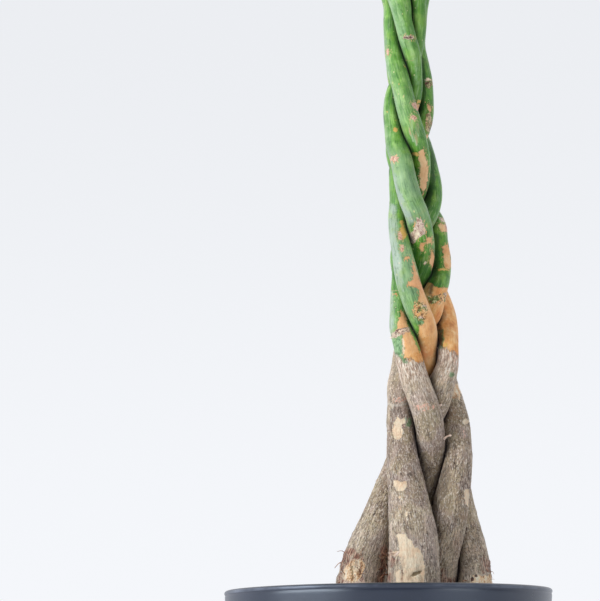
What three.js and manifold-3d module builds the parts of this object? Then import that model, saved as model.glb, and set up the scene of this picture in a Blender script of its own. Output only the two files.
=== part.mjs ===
// Potted money tree: a round tapered pot, soil, five stems plaited over two and under two, and palmate leaves.
// Millimetres, +Z up, origin at the centre of the pot's underside, front towards -Y.
import * as THREE from "three";
import { mergeVertices } from "three/addons/utils/BufferGeometryUtils.js";
import Module from "manifold-3d";

// ---- pot ----
const POT_HEIGHT = 330;
const POT_TOP_RADIUS = 175; // over the rim
const POT_BASE_RADIUS = 148;
const POT_WALL = 7;
const POT_FLOOR = 9;
const POT_FOOT_CHAMFER = 3;
const POT_SEGMENTS = 56;

// ---- soil ----
const SOIL_EDGE_Z = 301; // soil surface where it meets the wall
const SOIL_RISE = 5; // low mound around the trunk
const SOIL_MOUND_RADIUS = 118;
const FIT_GAP = 0.35; // clearance wherever two pieces meet

// ---- stems ----
const STEM_SIDES = 9;
const STEM_CORE = 0.93; // the bark's waves and fibres stand outside this share of the radius
const STEM_INSET = 0.5;
// Centre line of each stem from inside the soil to the shoot tip: [height, across, depth, radius].
const STEMS = {
  A: [
    [250, -39.9, 0, 25.29], [270, -39.3, 0, 25.57], [290, -38.1, -0.1, 25.86], [310, -35.6, -0.2, 25.64],
    [330, -31.7, -0.3, 24.93], [350, -27, -0.2, 24.04], [370, -21.3, 0.4, 22.9], [390, -13.3, 1.8, 21.76],
    [410, -5.6, 4.3, 20.4], [430, 1.7, 7.9, 18.98], [450, 9.5, 11.6, 18.01], [470, 17.6, 13.6, 17.04],
    [490, 27.6, 10.2, 16.2], [510, 41.1, 1.7, 15.87], [530, 53.1, -7.4, 15.55], [550, 59.8, -15.9, 14.6],
    [570, 66.3, -15, 12.07], [590, 67.4, -9.33, 11.7], [610, 66.4, 11.27, 13.77], [630, 64, 23.44, 14.43],
    [650, 57.9, 30.33, 14.22], [670, 49.1, 34.71, 13.97], [690, 38, 32.5, 13.69], [710, 26.4, 28.3, 13.36],
    [730, 21.3, 22.6, 13.03], [750, 27.7, 11.56, 13.57], [770, 37, 0.49, 12.64], [790, 41.4, -10.54, 10.36],
    [810, 37.8, -21.5, 11.1], [830, 31.6, -26.6, 11.43], [850, 25.8, -28.3, 11.11], [870, 21.7, -27.2, 10.8],
    [890, 17.2, -22, 10.73], [910, 14.3, -14, 10.66], [930, 13.5, -6.8, 10.59], [950, 13, -2.07, 10.52],
    [970, 13.5, 2.05, 10.38], [990, 9.5, 5.74, 10.21], [1010, 9.2, 9.4, 10.04], [1030, 15.5, 8.75, 9.88],
    [1050, 23.4, 0.7, 9.71], [1070, 30.7, -8.6, 9.55], [1090, 36.8, -11.2, 9.38], [1110, 40.6, -9, 9.23],
    [1130, 42.6, -5.1, 9.08], [1150, 42.6, -0.7, 8.93], [1170, 40.5, 3.3, 8.79], [1190, 36.4, 7, 8.64],
    [1210, 32, 9.9, 8.49], [1230, 29, 12.2, 8.35], [1250, 25.7, 12.6, 8.2], [1270, 22.4, 11.6, 8.05],
    [1290, 20.3, 12.8, 7.9], [1310, 19.5, 16.7, 7.75], [1330, 19.2, 21.8, 7.6], [1382, 17.9, 32.1, 6.6],
    [1434, 16.8, 40.9, 5.6], [1486, 15.9, 48.1, 4.6],
  ],
  B: [
    [250, 27.8, -28.1, 27.29], [270, 27.9, -28.2, 27.57], [290, 27.8, -29.3, 27.86], [310, 27.4, -32, 27.83],
    [330, 26.9, -36.23, 27.5], [350, 26.7, -39.94, 27.01], [370, 27, -40.7, 26.29], [390, 25.8, -36.9, 25.57],
    [410, 23.6, -29.8, 23.55], [430, 21.3, -25.6, 21.15], [450, 18.4, -24.5, 19.22], [470, 16.1, -23.2, 16.9],
    [490, 15.6, -20.1, 15.5], [510, 15.1, -16, 15.1], [530, 16.7, -6.4, 15.1], [550, 17.2, 6.7, 15.2],
    [570, 21.8, 17.5, 15.16], [590, 25.2, 17.17, 15], [610, 32.3, 9.2, 15.31], [630, 45.9, -0.93, 16.35],
    [650, 54.5, -0.83, 12.86], [670, 61, 10.12, 11.25], [690, 61.2, 17.5, 12.6], [710, 58.8, 19.8, 12.3],
    [730, 56.3, 27.11, 12.93], [750, 46, 33.26, 12.57], [770, 33.2, 29.86, 12.2], [790, 22, 23.4, 11.8],
    [810, 15.5, 18.7, 11.35], [830, 17.4, 12.2, 10.9], [850, 26.8, 3.85, 10.69], [870, 34.9, -7.76, 8.69],
    [890, 35.4, -16.5, 8.3], [910, 33.1, -21.6, 9.4], [930, 27.8, -22.4, 9.72], [950, 23.5, -20.54, 9.92],
    [970, 20.4, -18.64, 11.78], [990, 13.4, -14.96, 11.3], [1010, 5.9, -10.09, 10.4], [1030, 1.2, -4.2, 9.4],
    [1050, 0.8, 2.1, 9.21], [1070, 2.7, 7.3, 9.12], [1090, 5.9, 10.3, 9.04], [1110, 10.7, 10, 8.95],
    [1130, 16.9, 4, 8.84], [1150, 22.9, -5.3, 8.73], [1170, 29.3, -10, 8.63], [1190, 33.3, -9.9, 8.52],
    [1210, 34.4, -6.8, 8.41], [1230, 34.6, -3.4, 8.31], [1250, 35.3, -0.6, 8.2], [1270, 36.8, 1.7, 8.05],
    [1290, 39.1, 3.4, 7.9], [1310, 42.5, 4.8, 7.75], [1330, 46.5, 6.3, 7.6], [1398.3, 59, 11.2, 6.6],
    [1466.7, 69.7, 15.5, 5.6], [1535, 78.5, 18.9, 4.6],
  ],
  C: [
    [250, 53, 18.8, 26], [270, 53.1, 18.3, 26.2], [290, 52.9, 17, 26.5], [310, 52.2, 15.11, 26.33],
    [330, 51.3, 10.85, 24.58], [350, 51.3, 1.56, 23.72], [370, 54.9, -3.25, 22.43], [390, 61, -8.4, 21.22],
    [410, 65.9, -13.4, 20.03], [430, 69.7, -16.21, 18.72], [450, 73.4, -17.32, 16.97], [470, 76.4, -13.36, 14.93],
    [490, 75.9, -3.36, 15.35], [510, 74.5, 8.7, 15.87], [530, 71.1, 22.97, 15.53], [550, 65.7, 32.1, 15.28],
    [570, 60.4, 30.2, 15.16], [590, 54.2, 29.9, 15], [610, 45.8, 35.17, 14.85], [630, 34.4, 32.24, 14.59],
    [650, 33, 19.73, 13.77], [670, 36.8, 8.24, 13.43], [690, 41, -5.37, 13.55], [710, 39.7, -21.4, 13.7],
    [730, 35.3, -33.11, 12.97], [750, 27.6, -36.5, 12.71], [770, 22.6, -37.9, 12.38], [790, 19.5, -32.3, 12.06],
    [810, 14.7, -21, 11.74], [830, 13.2, -12.9, 11.43], [850, 11.9, -11.65, 11.1], [870, 14.5, -6.47, 10.78],
    [890, 23.1, -0.8, 10.73], [910, 31.6, -1.2, 10.66], [930, 37, -4.4, 10.59], [950, 39.5, -7.77, 10.34],
    [970, 39.5, -10.01, 10.02], [990, 41, -11.3, 10.21], [1010, 44.1, -10, 10.04], [1030, 46.5, -7.3, 9.88],
    [1050, 47.7, -3.1, 9.71], [1070, 47.3, 1.4, 9.55], [1090, 44.4, 5.9, 9.38], [1110, 39.8, 9.3, 9.23],
    [1130, 34.9, 11.4, 9.08], [1150, 29.5, 11.6, 8.93], [1170, 23, 6.6, 8.79], [1190, 17.8, -2.1, 8.64],
    [1210, 12.8, -9, 8.49], [1230, 8.2, -12.3, 8.35], [1250, 5.9, -12.6, 8.2], [1270, 6.2, -12.6, 8.05],
    [1290, 6.7, -15, 7.9], [1310, 6.8, -19.8, 7.75], [1330, 6.4, -25.7, 7.6], [1376.7, 6.1, -35.1, 6.6],
    [1423.3, 5.9, -43, 5.6], [1470, 5.7, -49.5, 4.6],
  ],
  D: [
    [250, 92.2, -13.7, 21.8], [270, 92.5, -13.5, 22], [290, 92.7, -11.9, 22.3], [310, 92.7, -7.59, 22.08],
    [330, 92.4, -0.05, 19.98], [350, 91.2, 13.71, 19.38], [370, 88, 22, 20.44], [390, 83.8, 24.9, 20.17],
    [410, 79.1, 23, 19.29], [430, 74.9, 19.91, 18.38], [450, 72.6, 19.68, 17.36], [470, 67, 21.72, 16.51],
    [490, 58.6, 26.6, 15.57], [510, 49.1, 31.2, 14.6], [530, 41.4, 24.12, 14.02], [550, 45.3, 12, 13.47],
    [570, 45.6, -0.03, 12.99], [590, 43.2, -7.77, 13.89], [610, 42.3, -22.72, 12.82], [630, 34, -31, 13.3],
    [650, 26.8, -35.2, 13], [670, 21.8, -38.5, 12.4], [690, 18.4, -35.6, 10.9], [710, 15.7, -25.16, 10.42],
    [730, 17, -14.92, 12.27], [750, 18.9, -13.49, 12.54], [770, 18.1, -14.27, 12.11], [790, 19.2, -6.09, 11.8],
    [810, 29.2, 0.3, 11.61], [830, 40.5, 3.21, 11.1], [850, 46.8, 9.9, 10], [870, 46.9, 12.9, 10.4],
    [890, 45.6, 14.3, 10.73], [910, 42.1, 17.1, 10.66], [930, 38.5, 16.6, 10.59], [950, 39.9, 12.7, 10.52],
    [970, 42.2, 8.82, 9.9], [990, 46.5, 7.6, 9.1], [1010, 46.8, 9.5, 9.3], [1030, 43.6, 12.2, 9.88],
    [1050, 38.1, 13.8, 9.71], [1070, 30.9, 11.6, 9.55], [1090, 23.3, 2.2, 9.38], [1110, 15.8, -8, 9.23],
    [1130, 8.5, -12.3, 9.08], [1150, 3.7, -11.2, 8.93], [1170, 0.3, -8.4, 8.79], [1190, -2.1, -5, 8.64],
    [1210, -2.8, -1.9, 8.49], [1230, -1.9, 1, 8.35], [1250, -1.2, 3.1, 8.2], [1270, -2.3, 4.9, 8.05],
    [1290, -5.2, 7.1, 7.9], [1310, -9.2, 9.8, 7.75], [1330, -13.7, 12.8, 7.6], [1390.7, -23.8, 19.6, 6.6],
    [1451.3, -32.3, 25.3, 5.6], [1512, -39.4, 30.1, 4.6],
  ],
  E: [
    [250, 6, 52.1, 23.29], [270, 6.5, 51.8, 23.57], [290, 8, 51.4, 23.86], [310, 10, 50.4, 23.76],
    [330, 12.5, 48, 23.29], [350, 16.5, 43.5, 22.62], [370, 22, 35.7, 21.67], [390, 28.5, 25.2, 20.72],
    [410, 36.2, 15.3, 19.4], [430, 40.6, 7.79, 18], [450, 44.6, 0.91, 18.17], [470, 46.5, -6.32, 17.31],
    [490, 46.7, -21.53, 15.53], [510, 44.1, -31.7, 15.67], [530, 38, -34, 15.41], [550, 31.4, -29.4, 15.05],
    [570, 26.3, -26.7, 14.59], [590, 21.5, -26.34, 13.3], [610, 17.1, -16.99, 12.57], [630, 17.9, -10.73, 12.49],
    [650, 19.6, -9.7, 13.1], [670, 20.2, -12.38, 12.29], [690, 17.6, -6.63, 11], [710, 23.8, 2.87, 11.57],
    [730, 42.7, 2.87, 12.33], [750, 52.7, 10.57, 10.84], [770, 54.6, 18.38, 10.89], [790, 50.2, 18.5, 11.68],
    [810, 45.9, 21.1, 11.41], [830, 39.8, 25.8, 11.14], [850, 31.8, 24.9, 10.87], [870, 24.1, 21.1, 10.6],
    [890, 18.3, 19.5, 10.53], [910, 16, 15.9, 10.46], [930, 16.8, 14.9, 10.39], [950, 19.8, 17.7, 10.32],
    [970, 24.5, 18.9, 10.2], [990, 28.4, 12.8, 10.06], [1010, 26.9, -0.4, 9.92], [1030, 19.4, -11.5, 9.78],
    [1050, 10.5, -14.4, 9.64], [1070, 4.1, -11.5, 9.51], [1090, -0.4, -6.9, 9.37], [1110, -2.5, -2.3, 9.23],
    [1130, -2.4, 2.1, 9.08], [1150, -0.7, 6, 8.93], [1170, 2, 9, 8.79], [1190, 5.7, 10.3, 8.64],
    [1210, 10.8, 8.3, 8.49], [1230, 15, 3, 8.35], [1250, 18.6, -2.1, 8.2], [1270, 22.4, -5.4, 8.05],
    [1290, 27, -7.9, 7.9], [1310, 31.7, -11, 7.75], [1330, 36.4, -14.4, 7.6], [1385.3, 45.5, -20.7, 6.6],
    [1440.7, 53.3, -26, 5.6], [1496, 59.7, -30.4, 4.6],
  ],
};

// ---- leaves ----
const STALK_RADIUS = 1.9;
const STALK_FOOT = 1.5; // swelling where the stalk leaves the stem
const HUB_RADIUS = 3.4; // where the leaflets spread
const BLADE_HALF_THICKNESS = 0.7;
const OUTER_SHORTER = 0.34; // the outermost leaflets are this share shorter than the middle one
const OUTER_NARROWER = 0.28;
const FANS = { 5: [0, 50, -50, 106, -106], 6: [24, -24, 72, -72, 122, -122], 7: [0, 44, -44, 88, -88, 134, -134] };
const BLADE_STATIONS = [0, 0.26, 0.53, 0.79, 1];
const BLADE_WIDTHS = [0, 0.66, 1, 0.62, 0];
// root: where the stalk starts; az: its heading; rise and reach: its slope at the stem and at the hub;
// nod: how far the fan tips forward; lift and droop: slope of a leaflet at its foot and at its tip.
const LEAVES = [
  { stem: "A", root: [23.9, 22.59, 1241], az: 107.9, stalk: 192, rise: 32, reach: 4, nod: 16, roll: -4, leaflets: 6, length: 146, width: 23, lift: 8, droop: 58, fold: 11 },
  { stem: "B", root: [45.29, 1.65, 1244.1], az: 16.8, stalk: 209, rise: 26, reach: 2, nod: 12, roll: 3, leaflets: 7, length: 162, width: 24.4, lift: 8, droop: 56, fold: 15 },
  { stem: "C", root: [3.9, -22.73, 1241.5], az: 253.8, stalk: 175, rise: 19, reach: -3, nod: 23, roll: 14, leaflets: 7, length: 144, width: 23.8, lift: 9, droop: 53, fold: 14 },
  { stem: "D", root: [-11.46, 6.06, 1241.9], az: 159.1, stalk: 194, rise: 20, reach: 5, nod: 32, roll: 11, leaflets: 7, length: 167, width: 24.2, lift: 11, droop: 31, fold: 15 },
  { stem: "E", root: [22.89, -7.05, 1236.6], az: 308.7, stalk: 179, rise: 29, reach: 12, nod: 20, roll: -6, leaflets: 6, length: 161, width: 23.8, lift: 9, droop: 45, fold: 14 },
  { stem: "A", root: [13.29, 16.65, 1269.4], az: 151.4, stalk: 201, rise: 43, reach: 8, nod: 26, roll: -2, leaflets: 5, length: 172, width: 27.6, lift: 4, droop: 29, fold: 14 },
  { stem: "B", root: [41.39, 12.65, 1282.3], az: 72.2, stalk: 185, rise: 39, reach: 10, nod: 11, roll: -2, leaflets: 7, length: 143, width: 24, lift: 11, droop: 50, fold: 15 },
  { stem: "C", root: [15.86, -18.49, 1281.5], az: 334.3, stalk: 174, rise: 43, reach: 1, nod: 16, roll: -9, leaflets: 7, length: 156, width: 23.7, lift: 9, droop: 45, fold: 15 },
  { stem: "D", root: [-8.61, -3.15, 1281.4], az: 243.4, stalk: 188, rise: 27, reach: 17, nod: 31, roll: -8, leaflets: 5, length: 171, width: 28, lift: 9, droop: 48, fold: 14 },
  { stem: "E", root: [38.49, -7.01, 1295.7], az: 9.9, stalk: 156, rise: 38, reach: 12, nod: 27, roll: -14, leaflets: 7, length: 156, width: 24.8, lift: 12, droop: 46, fold: 16 },
  { stem: "A", root: [29.71, 17.63, 1308.4], az: 7, stalk: 175, rise: 50, reach: 16, nod: 31, roll: 6, leaflets: 6, length: 153, width: 22.5, lift: 6, droop: 30, fold: 17 },
  { stem: "B", root: [54.41, -1.09, 1349.3], az: 296.5, stalk: 180, rise: 34, reach: 9, nod: 29, roll: -2, leaflets: 7, length: 148, width: 21.8, lift: 5, droop: 36, fold: 12 },
  { stem: "C", root: [-3.58, -23.6, 1324.9], az: 176.6, stalk: 151, rise: 43, reach: 15, nod: 22, roll: 12, leaflets: 5, length: 139, width: 23, lift: 6, droop: 31, fold: 14 },
  { stem: "D", root: [-15.21, 22.86, 1330.9], az: 97.8, stalk: 183, rise: 55, reach: 24, nod: 15, roll: 1, leaflets: 7, length: 170, width: 28.3, lift: 12, droop: 55, fold: 17 },
  { stem: "E", root: [34.58, -23.86, 1326.6], az: 264.2, stalk: 154, rise: 51, reach: 27, nod: 25, roll: 9, leaflets: 5, length: 151, width: 25.2, lift: 9, droop: 28, fold: 15 },
  { stem: "A", root: [14.58, 20.31, 1366.2], az: 246.8, stalk: 160, rise: 59, reach: 30, nod: 23, roll: -4, leaflets: 6, length: 138, width: 22.6, lift: 10, droop: 54, fold: 17 },
  { stem: "B", root: [50.81, 14.98, 1399.2], az: 155.9, stalk: 146, rise: 39, reach: 32, nod: 34, roll: 8, leaflets: 5, length: 138, width: 21.6, lift: 7, droop: 35, fold: 17 },
  { stem: "C", root: [14.3, -27.09, 1361.1], az: 31, stalk: 135, rise: 55, reach: 21, nod: 15, roll: -10, leaflets: 6, length: 140, width: 22.4, lift: 5, droop: 29, fold: 13 },
  { stem: "D", root: [-13.06, 10.03, 1366.1], az: 314.3, stalk: 160, rise: 49, reach: 29, nod: 11, roll: 14, leaflets: 5, length: 152, width: 24, lift: 9, droop: 31, fold: 17 },
  { stem: "E", root: [33.52, -17.51, 1369.1], az: 171.8, stalk: 185, rise: 39, reach: 16, nod: 15, roll: 13, leaflets: 7, length: 154, width: 24.8, lift: 5, droop: 30, fold: 13 },
  { stem: "A", root: [20.86, 44.88, 1411.2], az: 65.5, stalk: 154, rise: 53, reach: 43, nod: 29, roll: -4, leaflets: 6, length: 143, width: 23.6, lift: 11, droop: 55, fold: 12 },
  { stem: "B", root: [72.57, 8.19, 1447.5], az: 313.9, stalk: 130, rise: 61, reach: 43, nod: 16, roll: -14, leaflets: 7, length: 152, width: 25.7, lift: 11, droop: 37, fold: 13 },
  { stem: "C", root: [-2.59, -40.26, 1400.4], az: 187.6, stalk: 146, rise: 57, reach: 23, nod: 21, roll: 9, leaflets: 5, length: 167, width: 24.4, lift: 6, droop: 29, fold: 12 },
  { stem: "D", root: [-29.46, 31.98, 1431.9], az: 89.2, stalk: 161, rise: 54, reach: 40, nod: 18, roll: -11, leaflets: 7, length: 139, width: 20.7, lift: 9, droop: 32, fold: 17 },
  { stem: "E", root: [54.11, -31.81, 1420.6], az: 295.2, stalk: 139, rise: 53, reach: 38, nod: 29, roll: 7, leaflets: 7, length: 163, width: 25.2, lift: 11, droop: 52, fold: 18 },
  { stem: "A", root: [8.65, 40.11, 1435.5], az: 187, stalk: 116, rise: 72, reach: 41, nod: 28, roll: 8, leaflets: 7, length: 146, width: 21.2, lift: 8, droop: 45, fold: 10 },
  { stem: "B", root: [73.18, 23.6, 1474.5], az: 72.2, stalk: 133, rise: 67, reach: 43, nod: 32, roll: 13, leaflets: 6, length: 140, width: 23.7, lift: 10, droop: 40, fold: 16 },
  { stem: "C", root: [0.53, -49.93, 1429.5], az: 228.6, stalk: 137, rise: 64, reach: 32, nod: 11, roll: -12, leaflets: 6, length: 144, width: 24.4, lift: 7, droop: 32, fold: 16 },
  { stem: "D", root: [-37.88, 19.29, 1457.6], az: 233.3, stalk: 153, rise: 69, reach: 33, nod: 20, roll: -3, leaflets: 6, length: 154, width: 25, lift: 12, droop: 40, fold: 10 },
  { stem: "E", root: [57.2, -33.26, 1441], az: 298.1, stalk: 143, rise: 54, reach: 39, nod: 32, roll: 7, leaflets: 6, length: 142, width: 23, lift: 9, droop: 29, fold: 11 },
  { stem: "A", root: [21.26, 41.07, 1474.4], az: 313.6, stalk: 133, rise: 62, reach: 49, nod: 17, roll: 2, leaflets: 5, length: 133, width: 20.4, lift: 9, droop: 52, fold: 13 },
  { stem: "B", root: [71, 15.61, 1529], az: 204, stalk: 127, rise: 70, reach: 47, nod: 22, roll: 4, leaflets: 5, length: 112, width: 19, lift: 10, droop: 46, fold: 17 },
  { stem: "C", root: [2.84, -41.86, 1464], az: 113, stalk: 120, rise: 77, reach: 43, nod: 13, roll: 11, leaflets: 6, length: 110, width: 17.4, lift: 10, droop: 45, fold: 15 },
  { stem: "E", root: [51.63, -30.09, 1490], az: 181.3, stalk: 138, rise: 67, reach: 46, nod: 25, roll: 1, leaflets: 6, length: 128, width: 20, lift: 6, droop: 33, fold: 18 },
];

const RAD = Math.PI / 180;
const UP = new THREE.Vector3(0, 0, 1);
const wasm = await Module();
wasm.setup();

const material = (name, color, roughness, metalness = 0) => new THREE.MeshStandardMaterial({ name, color, roughness, metalness });
const group = new THREE.Group();
group.name = "potted_money_tree";

function addMesh(name, geometry, mat) {
  const mesh = new THREE.Mesh(geometry, mat);
  mesh.name = name;
  group.add(mesh);
}

function indexed(positions, triangles) {
  const g = new THREE.BufferGeometry();
  g.setAttribute("position", new THREE.Float32BufferAttribute(positions, 3));
  g.setIndex(triangles);
  return g;
}

function toSolid(geometry) {
  const g = geometry.clone();
  g.deleteAttribute("normal");
  g.deleteAttribute("uv");
  const m = mergeVertices(g, 1e-3);
  return new wasm.Manifold(new wasm.Mesh({ numProp: 3, vertProperties: new Float32Array(m.attributes.position.array), triVerts: new Uint32Array(m.index.array) }));
}

function fromSolid(solid) {
  const m = solid.getMesh();
  const out = [];
  for (let i = 0; i < m.numVert; i++) out.push(m.vertProperties[i * m.numProp], m.vertProperties[i * m.numProp + 1], m.vertProperties[i * m.numProp + 2]);
  return indexed(out, Array.from(m.triVerts));
}

function flat(geometry) {
  const g = geometry.toNonIndexed();
  g.computeVertexNormals();
  return g;
}

// ---- pot: one turned wall with a softly rounded rim ----
const wallRadius = (z) => POT_BASE_RADIUS + ((POT_TOP_RADIUS - POT_BASE_RADIUS) * z) / POT_HEIGHT;
const innerRadius = (z) => wallRadius(z) - POT_WALL;
const potProfile = [
  [0, 0],
  [POT_BASE_RADIUS - POT_FOOT_CHAMFER, 0],
  [wallRadius(POT_FOOT_CHAMFER), POT_FOOT_CHAMFER],
  [wallRadius(POT_HEIGHT - 3.2), POT_HEIGHT - 3.2],
  [POT_TOP_RADIUS - 0.9, POT_HEIGHT - 0.9],
  [POT_TOP_RADIUS - 3.2, POT_HEIGHT],
  [POT_TOP_RADIUS - POT_WALL + 2.4, POT_HEIGHT],
  [POT_TOP_RADIUS - POT_WALL + 0.5, POT_HEIGHT - 1.1],
  [innerRadius(POT_HEIGHT - 3.4), POT_HEIGHT - 3.4],
  [innerRadius(POT_FLOOR), POT_FLOOR],
  [0, POT_FLOOR],
].map(([r, z]) => new THREE.Vector2(r, z));
const turn = (profile) => new THREE.LatheGeometry(profile, POT_SEGMENTS).rotateX(Math.PI / 2);
const potSlate = material("pot_slate", 0x50555f, 0.42);
addMesh("pot", flat(fromSolid(toSolid(turn(potProfile)))), potSlate);

// ---- stems ----
function tube(points, radii, sides) {
  const pos = [], tri = [];
  let ref = new THREE.Vector3(1, 0, 0);
  const n = points.length;
  for (let i = 0; i < n; i++) {
    const along = points[Math.min(n - 1, i + 1)].clone().sub(points[Math.max(0, i - 1)]).normalize();
    const u = ref.clone().addScaledVector(along, -ref.dot(along)).normalize();
    const v = along.clone().cross(u);
    ref = u;
    for (let k = 0; k < sides; k++) {
      const a = (2 * Math.PI * k) / sides;
      const p = points[i].clone().addScaledVector(u, radii[i] * Math.cos(a)).addScaledVector(v, radii[i] * Math.sin(a));
      pos.push(p.x, p.y, p.z);
    }
  }
  for (let i = 0; i < n - 1; i++)
    for (let k = 0; k < sides; k++) {
      const a = i * sides + k, b = i * sides + ((k + 1) % sides);
      tri.push(a, b, b + sides, a, b + sides, a + sides);
    }
  for (let k = 1; k < sides - 1; k++) {
    tri.push(0, k + 1, k);
    const e = (n - 1) * sides;
    tri.push(e, e + k, e + k + 1);
  }
  return indexed(pos, tri);
}
const stemTube = (rows, grow) =>
  tube(rows.map(([z, x, y]) => new THREE.Vector3(x, y, z)), rows.map((r) => r[3] * STEM_CORE - STEM_INSET + grow), STEM_SIDES);
const bark = { A: 0x8c8070, B: 0x8f8472, C: 0x8a7e6c, D: 0x877b6a, E: 0x85796a };
for (const [name, rows] of Object.entries(STEMS)) addMesh(`stem_${name}`, flat(stemTube(rows, 0)), material(`stem_bark_${name}`, bark[name], 0.85));

// ---- soil: fills the pot, with a snug socket around each stem ----
const soilProfile = [[0, POT_FLOOR + FIT_GAP], [innerRadius(POT_FLOOR) - FIT_GAP, POT_FLOOR + FIT_GAP], [innerRadius(SOIL_EDGE_Z) - FIT_GAP, SOIL_EDGE_Z], [SOIL_MOUND_RADIUS + 22, SOIL_EDGE_Z + 1.2], [SOIL_MOUND_RADIUS, SOIL_EDGE_Z + SOIL_RISE], [0, SOIL_EDGE_Z + SOIL_RISE + 1]].map(([r, z]) => new THREE.Vector2(r, z));
let soil = toSolid(turn(soilProfile));
for (const rows of Object.values(STEMS)) {
  const low = rows.filter((r) => r[0] <= SOIL_EDGE_Z + 40);
  soil = soil.subtract(toSolid(stemTube([[low[0][0] - 1.5, low[0][1], low[0][2], low[0][3]], ...low], FIT_GAP)));
}
addMesh("soil", flat(fromSolid(soil)), material("potting_soil", 0x3a2e25, 0.95));

// ---- leaves: stalk, hub and leaflets in one closed body ----
function leaf(L) {
  const heading = new THREE.Vector3(Math.cos(L.az * RAD), Math.sin(L.az * RAD), 0);
  const slope = (e) => heading.clone().multiplyScalar(Math.cos(e * RAD)).addScaledVector(UP, Math.sin(e * RAD));
  const foot = new THREE.Vector3(...L.root);
  const bend = foot.clone().addScaledVector(slope(L.rise), L.stalk * 0.52);
  const hub = bend.clone().addScaledVector(slope(L.reach), L.stalk * 0.5);
  const onStalk = (t) => foot.clone().multiplyScalar((1 - t) * (1 - t)).addScaledVector(bend, 2 * t * (1 - t)).addScaledVector(hub, t * t);
  const alongStalk = (t) => bend.clone().sub(foot).multiplyScalar(2 * (1 - t)).addScaledVector(hub.clone().sub(bend), 2 * t).normalize();
  const forward = slope(L.reach - L.nod);
  const level = new THREE.Vector3(-Math.sin(L.az * RAD), Math.cos(L.az * RAD), 0);
  const across = level.clone().multiplyScalar(Math.cos(L.roll * RAD)).addScaledVector(forward.clone().cross(level), Math.sin(L.roll * RAD));
  const normal = forward.clone().cross(across).normalize();
  const pos = [], tri = [];
  const put = (p) => (pos.push(p.x, p.y, p.z), pos.length / 3 - 1);
  const arms = [...FANS[L.leaflets].map((angle) => ({ angle })), { angle: 180, stalk: true }].sort((a, b) => a.angle - b.angle);
  for (const a of arms) a.dir = a.stalk ? alongStalk(1).negate() : forward.clone().multiplyScalar(Math.cos(a.angle * RAD)).addScaledVector(across, Math.sin(a.angle * RAD));
  const top = put(hub.clone().addScaledVector(normal, 2.1)), bottom = put(hub.clone().addScaledVector(normal, -2.1));
  arms.forEach((a, i) => (a.left = put(hub.clone().addScaledVector(a.dir.clone().add(arms[(i + 1) % arms.length].dir).normalize(), HUB_RADIUS))));
  arms.forEach((a, i) => {
    const right = arms[(i + arms.length - 1) % arms.length].left;
    const over = put(hub.clone().addScaledVector(a.dir, HUB_RADIUS * 0.95).addScaledVector(normal, 1.7));
    const under = put(hub.clone().addScaledVector(a.dir, HUB_RADIUS * 0.95).addScaledVector(normal, -1.7));
    tri.push(top, right, over, top, over, a.left, bottom, under, right, bottom, a.left, under);
    let ring = [a.left, over, right, under];
    const grow = (points) => {
      const next = points.map(put);
      for (let k = 0; k < 4; k++) {
        const k1 = (k + 1) % 4;
        if (next.length === 1) tri.push(ring[k], ring[k1], next[0]);
        else tri.push(ring[k], ring[k1], next[k1], ring[k], next[k1], next[k]);
      }
      ring = next;
    };
    if (a.stalk) {
      for (const s of [0.86, 0.62, 0.36, 0.14, 0]) {
        const p = onStalk(s), dir = alongStalk(s).negate();
        const side = UP.clone().cross(new THREE.Vector3(dir.x, dir.y, 0).normalize()), lift = dir.clone().cross(side).normalize();
        const r = s === 0 ? STALK_RADIUS * STALK_FOOT : STALK_RADIUS;
        grow([p.clone().addScaledVector(side, r), p.clone().addScaledVector(lift, r), p.clone().addScaledVector(side, -r), p.clone().addScaledVector(lift, -r)]);
      }
      tri.push(ring[0], ring[1], ring[2], ring[0], ring[2], ring[3]);
      return;
    }
    const k = Math.pow(Math.abs(a.angle) / 134, 1.4);
    const length = L.length * (1 - OUTER_SHORTER * k), width = L.width * (1 - OUTER_NARROWER * k);
    const head = new THREE.Vector3(a.dir.x, a.dir.y, 0).normalize(), side = UP.clone().cross(head);
    const start = Math.asin(Math.max(-1, Math.min(1, a.dir.z))) / RAD + L.lift, end = Math.min(start - 18, -L.droop);
    const slopeAt = (t) => (start + (end - start) * Math.pow(t, 1.15)) * RAD;
    const p = hub.clone(), steps = 12, fold = L.fold * RAD;
    for (let i = 1; i < BLADE_STATIONS.length; i++) {
      const span = BLADE_STATIONS[i] - BLADE_STATIONS[i - 1];
      for (let q = 0; q < steps; q++) {
        const e = slopeAt(BLADE_STATIONS[i - 1] + (span * (q + 0.5)) / steps);
        p.addScaledVector(head, (Math.cos(e) * length * span) / steps).addScaledVector(UP, (Math.sin(e) * length * span) / steps);
      }
      const e = slopeAt(BLADE_STATIONS[i]), w = width * BLADE_WIDTHS[i];
      const lift = head.clone().multiplyScalar(Math.cos(e)).addScaledVector(UP, Math.sin(e)).cross(side);
      if (w === 0) grow([p.clone()]);
      else
        grow([
          p.clone().addScaledVector(side, w * Math.cos(fold)).addScaledVector(lift, w * Math.sin(fold)),
          p.clone().addScaledVector(lift, BLADE_HALF_THICKNESS),
          p.clone().addScaledVector(side, -w * Math.cos(fold)).addScaledVector(lift, w * Math.sin(fold)),
          p.clone().addScaledVector(lift, -BLADE_HALF_THICKNESS),
        ]);
    }
  });
  return indexed(pos, tri);
}
const leafGreen = [0x3f7a2e, 0x4a8a34, 0x386f2b];
LEAVES.forEach((L, i) => addMesh(`leaf_${String(i + 1).padStart(2, "0")}`, flat(leaf(L)), material(`leaf_green_${i + 1}`, leafGreen[i % 3], 0.38)));

export default group;
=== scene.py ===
import math

import bpy
import numpy as np
from mathutils import Matrix, Vector


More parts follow.
